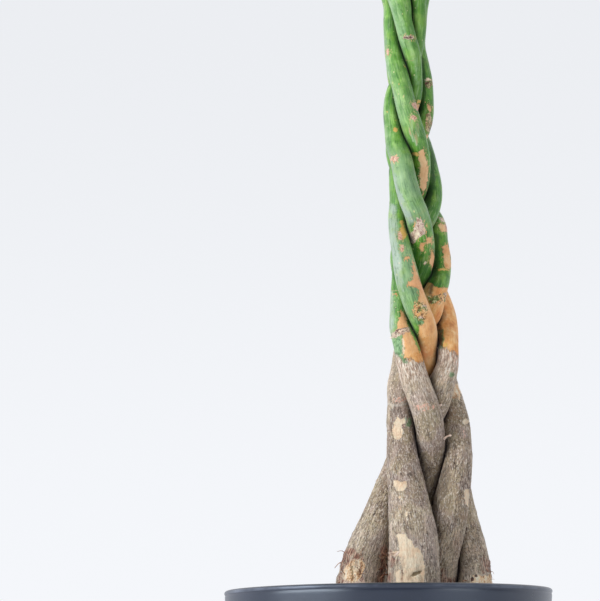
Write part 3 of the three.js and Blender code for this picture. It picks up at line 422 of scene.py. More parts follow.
# Marks seen on the stems, each as stem, kind, and either its left, right, top and bottom edge or its outline, in
# points of the photograph
MARKS = [
    # painted sheen: whitish bands along the lit left edges of the green stems, and on stem B a painted highlight streak
    ("D", "painted_sheen", [(389, 203), (396.5, 206), (398, 232), (399.4, 250), (401.4, 262), (402.6, 275), (404, 292), (399, 288), (394, 272), (390, 250), (388.4, 228)]),
    ("E", "painted_sheen", [(388.6, 290), (393.6, 290), (394.6, 310), (394.4, 326), (392, 338), (388, 330)]),
    ("C", "painted_sheen", [(386, 168), (391, 166), (398, 186), (408, 206), (417, 222), (409, 224), (399, 208), (391, 196)]),
    ("B", "painted_sheen", [(388.6, 0), (392.6, 0), (397, 18), (402, 34), (405, 50), (402, 48), (397, 36), (391, 14)]),
    ("B", "painted_sheen", [(397, 8), (399.4, 8), (404.6, 24), (409.6, 38), (414, 50), (417.6, 66), (419, 84), (416.6, 86), (413.6, 66), (410, 52), (405, 38), (400, 24)]),
    ("A", "painted_sheen", [(383.4, 34), (387.2, 36), (388.6, 56), (391, 76), (388.4, 78), (384.6, 60)]),
    # upper green part
    ("B", "scar", 402.6, 414, 34.8, 40), ("B", "eye", [(405, 37.2), (407, 36.4), (408.6, 37.2), (411, 36.4), (412, 37.6), (409, 38.6), (406, 38.4)]), ("B", "ring", 400, 416, 60, 61),
    ("B", "yellow", [(417, 100), (421, 100.4), (421, 102.8), (417, 103)]), ("B", "tan", [(411.8, 102.8), (415, 102.5), (419.7, 104.8), (418.7, 109.3), (416.5, 111.5), (413, 107)]),
    ("A", "pink", 386, 389.5, 48, 56), ("A", "pink", [(411.6, 102.6), (416, 102.4), (419, 106), (418.6, 111.4), (415, 108.6), (412.6, 106)]), ("A", "pink", [(410.9, 116), (413.5, 115), (417, 117), (417.2, 119.8), (413, 120.5), (410.6, 119)]),
    ("A", "pale", [(409, 120), (412.4, 120), (413, 131), (415, 140), (412.6, 142), (409.6, 134)]),
    # painted highlight: this pale mark is a pale green highlight streak on stem A
    ("A", "pale", [(415, 121), (418.4, 124), (419.4, 136), (416.6, 146), (414.6, 146), (415.4, 132)]),
    ("A", "yellow", [(411, 152), (417, 152.6), (420.5, 154), (418, 156), (411.5, 154.8)]),
    ("A", "tan", [(417.6, 151), (423.5, 149.5), (425.6, 156), (428, 168), (428.4, 180), (426, 190), (422.5, 193.5), (420, 187), (419, 175), (420.4, 166), (418.4, 158)]),
    ("A", "scar", 402, 404, 146, 148), ("A", "yellow", 398, 399.4, 83, 85), ("A", "yellow", 404.4, 406, 66, 67.6),
    ("D", "cream", [(424, 79.6), (427, 78.2), (431, 78.8), (432.4, 80.6), (428, 80.8), (424.6, 81.8)]), ("D", "cream", [(426, 85), (429, 83.4), (431.6, 84.6), (431, 87.6), (428, 86.6)]), ("D", "fleck", [(424, 82), (427, 81.4), (431.6, 80.2), (433.4, 82), (432.6, 86.5), (430, 88.4), (426, 87)]),
    ("D", "eye", [(424.8, 83.2), (427.4, 81.6), (429.8, 82), (429.4, 83.2), (427, 84), (425.6, 84.8)]),
    ("D", "tan", [(426, 104), (429, 104.6), (432, 109.2), (431.2, 111.7), (427.8, 110)]),
    ("D", "fleck", [(425.4, 114), (430.6, 113), (432.2, 119), (431.4, 127), (429, 132.6), (425.2, 130), (426.6, 122)]),
    ("D", "cream", [(429, 113.4), (431, 114), (432.2, 119), (431, 125), (429.6, 124), (429, 118)]), ("D", "eye", 429.4, 431.2, 127, 130.6), ("D", "tan", [(424, 134.8), (429.6, 135.5), (428.6, 141), (426.4, 147), (424.4, 142)]),
    ("C", "yellow", 393.2, 398, 127.6, 131.5), ("C", "yellow", 386.2, 388.2, 111.4, 113), ("C", "yellow", 395.2, 397.2, 119.8, 121),
    ("C", "pink", [(390.2, 157), (394, 155.6), (398.6, 156.8), (398.4, 160.4), (394, 161.6), (390.6, 160.8)]),
    # middle
    ("C", "beige", [(417.4, 217.6), (421.6, 218.3), (425, 223.9), (426, 230.8), (422.9, 235.6), (418.8, 237.7), (415.3, 241.9), (412.5, 243.9), (409.8, 239.8), (408.4, 233.5), (412.5, 232.2), (414.6, 228), (416.7, 222.5)]),
    ("C", "cream", [(414.6, 233), (418.2, 229.6), (419, 234), (416.6, 240), (414.4, 239.4)]), ("C", "cream", 423, 425.8, 227, 231),
    ("C", "scar", 411.4, 414, 236, 240.4), ("C", "tan", [(426.4, 237.8), (432, 236.8), (432.3, 241.6), (428, 244.4), (425.6, 241.6)]),
    ("C", "tan", [(419.1, 243.4), (424.3, 242.8), (424, 251.2), (421.6, 252), (419.4, 248.6)]),
    ("C", "tan", [(431.6, 250), (433.9, 252), (434.6, 267.5), (432, 267.8), (429.2, 263), (431, 257.5)]), ("C", "cream", 424, 426.4, 261.4, 264.6),
    ("A", "cream", [(434.7, 213.5), (438.9, 209), (441.2, 213.6), (438.9, 219), (436.1, 223.4), (433, 228), (431.6, 233), (430.6, 229), (433.4, 222)]),
    ("A", "tan", [(437.8, 205), (440.2, 206), (440.6, 212), (438, 214)]),
    ("D", "yellow", [(399.7, 220.4), (402.2, 220.2), (403.9, 222.5), (404.2, 227.3), (406.7, 231.5), (407, 235.6), (403.9, 239.1), (400.4, 239.1), (400.8, 233.5), (400.1, 229.4), (401.5, 225.2), (399.4, 223.2)]),
    ("D", "pink", [(397.3, 233), (400.6, 231.4), (402.4, 236), (402, 240.4), (398.2, 239.4)]), ("D", "pink", 399.8, 403.9, 245.3, 251.6),
    ("D", "tan", [(403.6, 257), (406, 256.2), (410.5, 257), (410.2, 259), (405, 259.6)]), ("D", "cream", 398.6, 400.6, 262.4, 264),
    ("D", "tan", [(412.5, 259.9), (414.6, 262.6), (416, 269.6), (418.8, 276.5), (421.6, 284.8), (424.3, 291.7), (427.1, 299.3), (430, 309), (418.8, 297), (419, 291), (417.4, 286.9), (412.5, 286.9), (408, 285.5), (408.4, 282), (413.2, 279.3), (413.9, 272.3), (412.5, 266.8)]),
    ("D", "tan", [(420.2, 288), (418.8, 297), (417.7, 302.5), (414.6, 303.9), (413.2, 307.3), (413.9, 314), (416, 318), (424, 320.5), (424.3, 323), (421.5, 325.3), (419.5, 326), (418.8, 331.6), (417.7, 335.7), (416, 340), (441, 345), (442, 330), (437, 312), (431, 296), (427, 288)]),
    ("D", "fleck", [(413.6, 304), (420, 301.5), (426.8, 304), (428, 312), (425.4, 319), (418, 320.4), (413.8, 315)]),
    ("D", "eye", 416.6, 419, 311, 313.6), ("D", "scar", 423, 427, 304.6, 307.4), ("D", "scar", 418, 425, 315.8, 318.2), ("D", "greenpatch", [(416.6, 319.6), (423.4, 320.6), (424.2, 322.6), (421, 325), (417.6, 324)]),
    ("B", "tan", [(438.9, 223.9), (444.6, 223.6), (446.4, 227), (446.6, 232), (442, 232), (439.4, 229)]), ("B", "pink", [(444.6, 223.6), (447.6, 226), (449, 232), (446, 232.4), (445, 228)]),
    ("B", "beige", [(439, 217), (443.6, 219), (446.6, 222), (441, 222.4)]),
    ("B", "tan", [(442.3, 246.8), (447, 244.4), (450.8, 248.8), (451.6, 266), (449.2, 269.8), (445, 267.4), (444, 258.4)]),
    ("B", "yellow", [(438, 268.8), (443, 268), (448.2, 268.6), (448, 270.6), (442, 270.2), (438.2, 270.8)]), ("B", "fleck", [(427.6, 297), (436, 295.6), (446, 292.6), (448.6, 296.4), (446, 302), (437, 303.6), (428.6, 303)]),
    ("B", "scar", 443.6, 447, 292.4, 295.6), ("E", "tan", 394.4, 396.8, 293, 295.2), ("E", "ring", 390, 402, 290.4, 291.2),
    ("E", "tan", [(402.2, 310.4), (407.7, 323.2), (409.8, 330.9), (414, 340), (419, 350), (421, 358.5), (404, 357.5), (403.5, 345), (403, 336), (397, 331.5), (396.6, 327), (397.3, 323.2)]),
    ("E", "scar", [(391.4, 333.4), (397, 329.6), (404, 328), (409.6, 327), (411, 331.6), (404, 334), (397, 338), (391.6, 338)]),
    ("E", "cream", [(401.6, 339), (403.8, 338), (404.4, 346), (404, 354), (402.6, 354), (402.8, 346)]),
    ("E", "tan", [(403.4, 338), (412, 334), (417, 346), (420.6, 355), (410, 361), (404, 352)]),
    ("E", "greenpatch", [(391, 338.4), (401.4, 339), (402.2, 347), (401.6, 356), (398, 357.6), (393, 351)]), ("E", "greenpatch", [(401.9, 357.6), (406.7, 359), (408.4, 363.4), (403.6, 363.6)]),
    ("A", "greenpatch", [(437.6, 329), (443.7, 329.4), (444, 338), (442.6, 348), (438, 348.4)]), ("A", "yellow", [(443.2, 342.8), (447.2, 342), (447.6, 346), (444.4, 349)]),
    ("A", "pink", [(451.6, 351.8), (455.8, 351.2), (456.6, 356), (458.4, 362), (457.8, 366.4), (454.8, 364), (453, 357.4)]), ("A", "greenpatch", [(449.8, 372), (453.6, 371.2), (455, 375), (452.4, 378), (450, 376.6)]),
    # bark
    ("E", "pink", [(413.6, 405.6), (418, 403.6), (423.6, 404), (430, 403.4), (435.8, 404.4), (437.4, 407), (433, 409), (427, 411), (420, 410.4), (414.6, 409.6)]),
    ("E", "cream", 418.4, 420.6, 400, 402.6), ("E", "yellow", 423, 425, 400, 402),
    ("B", "pink", [(391.8, 398.6), (399, 396.6), (407, 396.2), (407.4, 400.6), (400, 401.6), (392.6, 402)]),
    ("B", "crescent", [(387.6, 402.2), (392, 403.6), (397.6, 404.6), (403, 403.8), (408, 402.2), (407.4, 404.6), (402, 406.2), (397, 407), (391.4, 405.8), (387.8, 404.6)]),
    ("B", "shade", [(393.4, 407), (400, 407.2), (399.6, 412), (397, 415), (394.4, 412)]),
    ("B", "cream", [(395.9, 415.9), (398.7, 416.6), (400.1, 419.3), (404.9, 417.9), (405.6, 422.8), (401.5, 424.9), (400.8, 427.6), (402.9, 430.4), (402.9, 433.9), (399.4, 439.4), (394.5, 440.1), (392.5, 433.9), (391.8, 429), (393.9, 424.9), (393.2, 422.1), (395.6, 420)]),
    ("B", "scar", 401, 405.4, 424, 429), ("B", "cream", 402.2, 404, 425.6, 427.6), ("B", "greenpatch", [(404.4, 418.6), (407.6, 416.8), (411.0, 418.4), (411.6, 424), (408.8, 427.2), (405.4, 425.6), (405.8, 422)]),
    ("B", "cream", [(392.8, 480.6), (399.6, 481.4), (406.8, 480.2), (406.6, 487), (404.4, 488.6), (403.6, 491), (395.4, 490.6), (395, 487.2), (393, 485.6)]), ("B", "cream", 398, 401, 496, 499), ("B", "pink", 399, 401.2, 505, 510), ("B", "cream", 405, 408, 511, 517),
    ("B", "cream", [(395.8, 535.2), (400, 533.8), (407, 535.2), (407.7, 538.7), (411.2, 540.8), (414, 546.4), (420.3, 549.9), (422.4, 555.5), (424.5, 561.8), (425, 586), (402.1, 588), (400.7, 573), (400, 559), (399.3, 549.2), (397.2, 540.8)]),
    ("B", "cream", [(394.6, 571), (400, 569), (400.8, 586), (396, 588)]), ("B", "pink", [(403.2, 560), (406, 562), (408, 575), (410, 586), (403.4, 587)]),
    ("B", "crack", [(409.4, 577), (413.6, 571.8), (423.8, 570), (421.4, 573.4), (414.2, 576.4)]), ("B", "fibre", [(401.4, 557), (402.8, 557), (403, 588), (401.2, 588)]),
    ("B", "fibre", [(387, 546), (392, 550), (394, 557.6), (398.6, 560), (396, 565), (391, 568), (387, 566)]), ("B", "fibre", [(386, 574), (392, 572), (393, 588), (386, 588)]), ("B", "cream", [(390.6, 551.8), (396, 550.4), (399.8, 552.6), (398.6, 556.8), (393, 556.2)]),
    ("E", "shade", [(415, 440), (420, 448), (427, 458), (436, 468), (441, 476), (436, 492), (430, 502), (424, 486), (418, 460)]),
    ("C", "shade", [(446, 462), (449, 466), (450, 480), (446, 494), (438, 508), (431, 510), (436, 490), (441, 476)]),
    ("A", "shade", [(436, 322), (441, 324), (443, 331), (441.6, 350), (440.6, 364), (439, 377), (432, 386), (429, 378), (435, 366), (437, 350)]),
    ("E", "shade", [(429, 140), (433, 150), (435.6, 165), (435, 185), (431, 203), (426, 213), (423, 206), (427, 194), (430.5, 180), (431, 165)]),
    ("B", "shade", [(433, 232), (438.6, 235), (439, 266), (437, 276), (431, 296), (427, 292), (433, 280), (434.6, 260), (434, 245)]),
    ("D", "shade", [(421, 56), (424.6, 60), (426, 76), (426, 92), (423.6, 106), (420, 118), (417, 112), (421, 98), (422.6, 80)]),
    ("C", "tan", [(449, 386), (454, 382.4), (459, 384), (461.4, 392), (460, 400.8), (454, 398), (450, 399)]), ("C", "shade", [(453.6, 395), (458.6, 394.4), (458.4, 399.6), (455.2, 401)]),
    ("C", "cream", [(462.4, 420.6), (464.6, 418.4), (467.4, 418.8), (469.6, 421.6), (468, 424.4), (463.4, 424.2)]), ("C", "pink", 463.4, 465, 428, 440),
    ("C", "cream", [(464, 490), (468.6, 488), (471, 496), (469.6, 507.6), (466, 505), (464.6, 498)]), ("C", "pink", 464.4, 466.4, 494, 506),
    ("C", "fibre", [(440.9, 568), (445.4, 569), (445, 586), (441, 586)]), ("C", "fibre", [(446, 578), (458, 576), (470, 579), (470, 588), (446, 588)]),
    ("A", "fibre", [(344, 549), (350, 548), (358, 553), (365, 558), (366, 562), (360, 558), (353, 560), (347, 566), (342, 572), (341, 564)]), ("A", "fibre", [(337, 576), (343, 570), (344, 588), (337, 588)]), ("A", "scar", [(380.6, 546), (386, 545), (387.4, 552), (386, 557), (381.6, 555)]),
    ("A", "tan", [(354, 559), (360.6, 557.6), (364.6, 562), (365.3, 569.5), (362.6, 575), (358, 580), (352, 582), (345, 581), (342.3, 577), (343.7, 570), (347, 565), (351.4, 562)]), ("A", "beige", [(343, 580), (352, 581.6), (362, 577), (366, 582), (366, 588), (342, 588)]),
    ("A", "cream", [(355, 562.6), (359, 560.6), (360.4, 567), (357, 572), (354.6, 569)]),
    ("A", "crack", [(350.6, 566), (352.4, 565.4), (353, 578), (351.4, 580)]), ("A", "crack", [(358.4, 566), (360, 566), (360.4, 575), (358.8, 576)]),
    ("A", "fibre", [(380, 546), (386, 545), (386, 588), (376, 588), (381, 566)]),
    ("D", "fibre", [(479.6, 559), (486, 556.6), (489.6, 562), (490.6, 573), (482, 573.6), (480, 566)]),
    ("D", "tan", [(471.3, 577), (475, 574), (482, 576.6), (488, 575.4), (492.6, 570), (494, 588), (471, 588)]), ("D", "eye", 470.2, 473.8, 576.2, 581.4), ("D", "eye", 474.4, 477.6, 573.8, 577), ("D", "pink", [(486, 577), (491.6, 573), (493.6, 588), (485, 588)]),
    ("D", "yellow", 484, 488, 575, 580),
]
KINDS = ("tan", "pale", "painted_sheen", "cream", "pink", "yellow", "beige", "scar", "eye", "ring", "crack", "greenpatch", "fleck", "crescent", "shade", "fibre")


def outline_depth(px, py, pts):
    """How far inside an outline each point lies, negative outside."""
    p = np.array(pts, float)
    q = np.roll(p, -1, axis=0)
    best = np.full(px.shape, 1e9)
    inside = np.zeros(px.shape, bool)
    for (ax, ay), (bx, by) in zip(p, q):
        ex, ey = bx - ax, by - ay
        t = np.clip(((px - ax) * ex + (py - ay) * ey) / max(ex * ex + ey * ey, 1e-9), 0, 1)
        best = np.minimum(best, np.hypot(px - ax - t * ex, py - ay - t * ey))
        cross = ((ay > py) != (by > py)) & (px < (bx - ax) * (py - ay) / (by - ay + 1e-12) + ax)
        inside ^= cross
    return np.where(inside, best, -best)


# middle line of the whole plait, and how far out its stems reach, at each height
PLAIT_Z = np.arange(250.0, 1330.0, 4.0)
_all = np.array([[np.interp(PLAIT_Z, f[:, 0], f[:, k]) for k in (1, 2, 3)] for f in FINE.values()])
_kern = np.hanning(41) / np.hanning(41).sum()


def _soft(v):
    return np.convolve(np.pad(v, 20, mode="edge"), _kern, mode="valid")


PLAIT_X, PLAIT_Y = _soft(_all[:, 0].mean(0)), _soft(_all[:, 1].mean(0))
PLAIT_R = _soft((np.hypot(_all[:, 0] - PLAIT_X, _all[:, 1] - PLAIT_Y) + _all[:, 2]).max(0))


def stem_mesh(name, seed):
    sides = 80
    top = STEMS[name][-1][0]
    line = spline(STEMS[name], [(250.0, 318.0, 4.0), (318.0, 985.0, 1.5), (985.0, top - 16.0, 4.2), (top - 16.0, top, 2.0)])
    z, c, r = line[:, 0], line[:, [1, 2, 0]], line[:, 3].copy()
    # the shoot's tip closes in a pointed bud
    bud = np.clip((z - (top - 14.0)) / 14.0, 0, 1)
    r = r * np.sqrt(np.maximum(1.0 - bud ** 2, 0.0)) + 0.02
    tang = unit(np.gradient(c, axis=0))
    front = np.array([0.0, -1.0, 0.0])
    u = unit(front[None] - (tang @ front)[:, None] * tang)
    v = np.cross(tang, u)
    arc = np.concatenate([[0], np.cumsum(np.linalg.norm(np.diff(c, axis=0), axis=1))])
    th = np.arange(sides) / sides * 2 * math.pi
    n = len(z)
    U, V = u[:, None, :], v[:, None, :]
    ct, sn = np.cos(th)[None, :, None], np.sin(th)[None, :, None]
    radial = U * ct + V * sn
    base = c[:, None, :] + radial * r[:, None, None]
    px, py = mm_to_photo(base[..., 0], base[..., 1], base[..., 2])
    facing = radial[..., 1] < 0.14
    side = radial[..., 0]
    R = np.broadcast_to(r[:, None], px.shape)
    A = np.broadcast_to(arc[:, None], px.shape)
    straight = np.stack([np.cos(th)[None] * R, np.sin(th)[None] * R, A], -1)
    flat = straight.reshape(-1, 3) + seed * 53.0

    def field(scale, octaves, k, gain=0.5):
        return fractal(flat * np.array(scale), octaves, seed + k, gain).reshape(px.shape)

    wob = field((1 / 9.0, 1 / 9.0, 1 / 9.0), 4, 0) * 5.0
    wob2 = field((1 / 3.2, 1 / 3.2, 1 / 4.2), 3, 5, 0.6) * 2.0
    jag = field((1 / 1.9, 1 / 1.9, 1 / 2.4), 2, 6, 0.6)
    y0, dy = PEEL_FROM[name]
    y1, dy1 = BARK_FROM[name]
    # positive inside the peeled zone and inside the barked zone, in mm
    peel = (py - (y0 + dy * side)) * 1.07 + wob * 1.1 + wob2 * 1.3 + jag * 0.8
    barked = (py - (y1 + dy1 * side)) * 1.07 + wob * 1.0 + wob2 * 1.6 + jag
    hidden = smooth(-0.1, 0.5, radial[..., 1])
    peel = peel + hidden * (field((1 / 13.0, 1 / 13.0, 1 / 40.0), 4, 41, 0.6) * 34.0 + wob2 * 1.5)
    barked = barked + hidden * (field((1 / 11.0, 1 / 11.0, 1 / 34.0), 4, 43, 0.6) * 26.0 + wob2 * 1.5)

    wx = field((1 / 4.6, 1 / 4.6, 1 / 4.6), 3, 31) * 3.4
    wy = field((1 / 4.6, 1 / 4.6, 1 / 4.6), 3, 37) * 3.4
    fields = {k: np.full(px.shape, -12.0) for k in KINDS}
    for stem, kind, *shape in MARKS:
        if stem != name:
            continue
        if len(shape) == 4:
            xa, xb, ya, yb = shape
            cx, cy, hx, hy = (xa + xb) / 2, (ya + yb) / 2, (xb - xa) / 2, (yb - ya) / 2
            shape = [[(cx + hx * math.cos(t) * (1 + 0.18 * math.sin(3 * t + cx)), cy + hy * math.sin(t) * (1 + 0.18 * math.cos(2 * t + cy))) for t in np.linspace(0, 2 * math.pi, 13)[:-1]]]
        pts = np.array(shape[0], float)
        lo, hi = pts.min(0) - 9, pts.max(0) + 9
        near = facing & (px > lo[0]) & (px < hi[0]) & (py > lo[1]) & (py < hi[1])
        if not near.any():
            continue
        small = min(1.0, float(min(hi - lo) - 18) / 9.0)
        rough = 0.15 + 0.75 * small
        if kind in ("eye", "ring", "crescent", "crack"):
            rough *= 0.45
        d = outline_depth(px[near] + wx[near] * rough * 0.5, py[near] + wy[near] * rough * 0.5, pts) * 1.07
        d = d + (wob2[near] * 0.35 + jag[near] * 0.8) * rough
        fields[kind][near] = np.maximum(fields[kind][near], d)
    # marks on the sides that the photograph doesn't show, in the same manner
    rng = np.random.default_rng(seed)
    for _ in range(64):
        zc = rng.uniform(330, 1030)
        a = rng.uniform(0.53 * math.pi, 1.47 * math.pi)
        i = int(np.argmin(abs(z - zc)))
        yy = float(py[i, 0])
        kind = rng.choice(["tan", "tan", "tan", "pink", "cream", "beige", "scar"]) if yy < 350 else rng.choice(["cream", "cream", "pink", "fibre", "scar"])
        if yy < 200 and rng.random() < 0.55:
            continue
        ha, hz = rng.uniform(1.4, 5.0), rng.uniform(2.0, 10.0)
        if kind in ("scar", "eye"):
            ha, hz = rng.uniform(1.2, 3.5), rng.uniform(0.8, 2.5)
        if yy > 500 and kind == "cream" and rng.random() < 0.4:
            ha, hz = ha * 2, hz * 2
        da = np.angle(np.exp(1j * (th - a)))[None] * R + wx * 0.55
        dz = (arc - arc[i])[:, None] + wy * 0.9
        d = (1.0 - np.sqrt((da / ha) ** 2 + (dz / hz) ** 2)) * min(ha, hz) + wob2 * 0.3 + jag * 0.7
        fields[kind] = np.maximum(fields[kind], np.maximum(d, -12.0))

    # shape: slow waves everywhere, fissures in the bark, small swellings at the leaf scars of the green part
    low = field((1 / 26.0, 1 / 26.0, 1 / 60.0), 3, 3)
    deep = smooth(-4, 10, barked)
    girth = np.clip(R / 25.0, 0.35, 1.0)
    ridges = 1.0 - abs(field((1 / 5.0, 1 / 5.0, 1 / 19.0), 4, 9, 0.55)) * 2.2
    crumbs = field((1 / 2.6, 1 / 2.6, 1 / 4.5), 3, 21, 0.6)
    disp = low * (0.3 + 0.9 * deep * girth)
    disp = disp + deep * girth * (np.clip(ridges, -1, 1) * 0.5 - 0.25 + crumbs * 0.6)
    rings = np.zeros(px.shape)
    zr = 330.0 + rng.uniform(0, 40)
    while zr < top - 20:
        w = 1.6 + 1.2 * rng.random()
        tilt = rng.uniform(-0.14, 0.14)
        rings += np.exp(-(((A + tilt * side * R + wob * 0.12) - np.interp(zr, z, arc)) / w) ** 2) * rng.uniform(0.15, 0.5)
        zr += rng.uniform(34, 62) if zr < 980 else rng.uniform(14, 26)
    disp += rings * (0.35 + 0.75 * deep)
    for kind, depth in (("tan", -0.22), ("cream", -0.75), ("beige", -0.1), ("scar", 0.25), ("eye", -1.0), ("crack", -1.2), ("ring", 0.4), ("pink", 0.1), ("crescent", 0.9), ("shade", -0.1), ("fibre", 0.3), ("fleck", 0.15), ("pale", -0.1), ("painted_sheen", 0.0)):
        disp += smooth(-0.5, 0.7, fields[kind]) * depth
    disp += smooth(-0.5, 1.0, peel) * -0.2
    disp += smooth(0.0, 1.0, fields["fibre"]) * field((1 / 1.5, 1 / 1.5, 1 / 8.0), 2, 71) * 1.6
    disp *= (1 - bud)[:, None]
    verts = base + radial * disp[..., None]

    # neighbours press flat against each other where they touch, and it is dim between them
    flatv = verts.reshape(-1, 3)
    own = np.repeat(c, sides, axis=0)
    move = np.zeros_like(flatv)
    gap = np.full(len(flatv), 99.0)
    for other, f in FINE.items():
        if other == name:
            continue
        oz = flatv[:, 2]
        oc = np.stack([np.interp(oz, f[:, 0], f[:, 1]), np.interp(oz, f[:, 0], f[:, 2])], -1)
        sl = np.stack([np.interp(oz, f[:, 0], np.gradient(f[:, 1], f[:, 0])), np.interp(oz, f[:, 0], np.gradient(f[:, 2], f[:, 0]))], -1)
        orad = np.interp(oz, f[:, 0], f[:, 3])
        t = unit(np.column_stack([sl, np.ones(len(oz))]))
        d = np.column_stack([flatv[:, :2] - oc, np.zeros(len(oz))])
        d -= (d * t).sum(1, keepdims=True) * t
        dist = np.linalg.norm(d, axis=1)
        beside = (oz > f[0, 0]) & (oz < f[-1, 0])
        pen = np.where(beside, orad + 0.35 - dist, -1)
        gap = np.where(beside, np.minimum(gap, dist - orad), gap)
        m = pen > 0
        inward = unit(own - flatv)
        move[m] += inward[m] * np.minimum(pen * 0.62, 4.0)[m, None]
    flatv = flatv + move
    # how far each point stands out from the plait, for the painted sheen and painted shade of the green skin
    out = np.hypot(flatv[:, 0] - np.interp(flatv[:, 2], PLAIT_Z, PLAIT_X), flatv[:, 1] - np.interp(flatv[:, 2], PLAIT_Z, PLAIT_Y))
    exposed = out / np.interp(flatv[:, 2], PLAIT_Z, PLAIT_R)

    i, k = np.meshgrid(np.arange(n - 1), np.arange(sides), indexing="ij")
    k1 = (k + 1) % sides
    quads = np.stack([i * sides + k, i * sides + k1, (i + 1) * sides + k1, (i + 1) * sides + k], -1).reshape(-1, 4)
    m = len(flatv)
    flatv = np.vstack([flatv, c[0][None], c[-1][None]])
    kk = np.arange(sides)
    kk1 = (kk + 1) % sides
    lowcap = np.stack([np.full(sides, m), kk1, kk], -1)
    topcap = np.stack([np.full(sides, m + 1), (n - 1) * sides + kk, (n - 1) * sides + kk1], -1)
    o = new_object(f"bark_stem_{name}", flatv, [quads, lowcap, topcap])

    def ext(a, fill):
        return np.concatenate([a.reshape(-1), [fill, fill]])

    st = np.vstack([straight.reshape(-1, 3), [0, 0, 0], [0, 0, arc[-1]]]) / 1000.0
    put(o, "straight", st + seed * 0.37)
    put(o, "peel", ext(peel, -20))
    put(o, "barked", ext(barked, 0))
    put(o, "rings", ext(rings, 0))
    put(o, "gap", ext(gap, 99))
    put(o, "exposed", ext(exposed, 0.5))
    # how much each point faces the lit left side, for painted light and painted shade
    put(o, "lit_side", ext(-radial[..., 0] * 0.92 + radial[..., 1] * 0.2, 0))
    for kind in KINDS:
        put(o, "m_" + kind, ext(fields[kind], -12))
    # height as a share of the stem, for the slow change from bark to fresh green
    put(o, "height", ext(np.broadcast_to(((z - 330.0) / 650.0)[:, None], px.shape), 0))
    put(o, "tone", np.full(m + 2, {"A": 0.55, "B": 0.2, "C": 0.75, "D": 0.9, "E": 0.4}[name]))
    return o


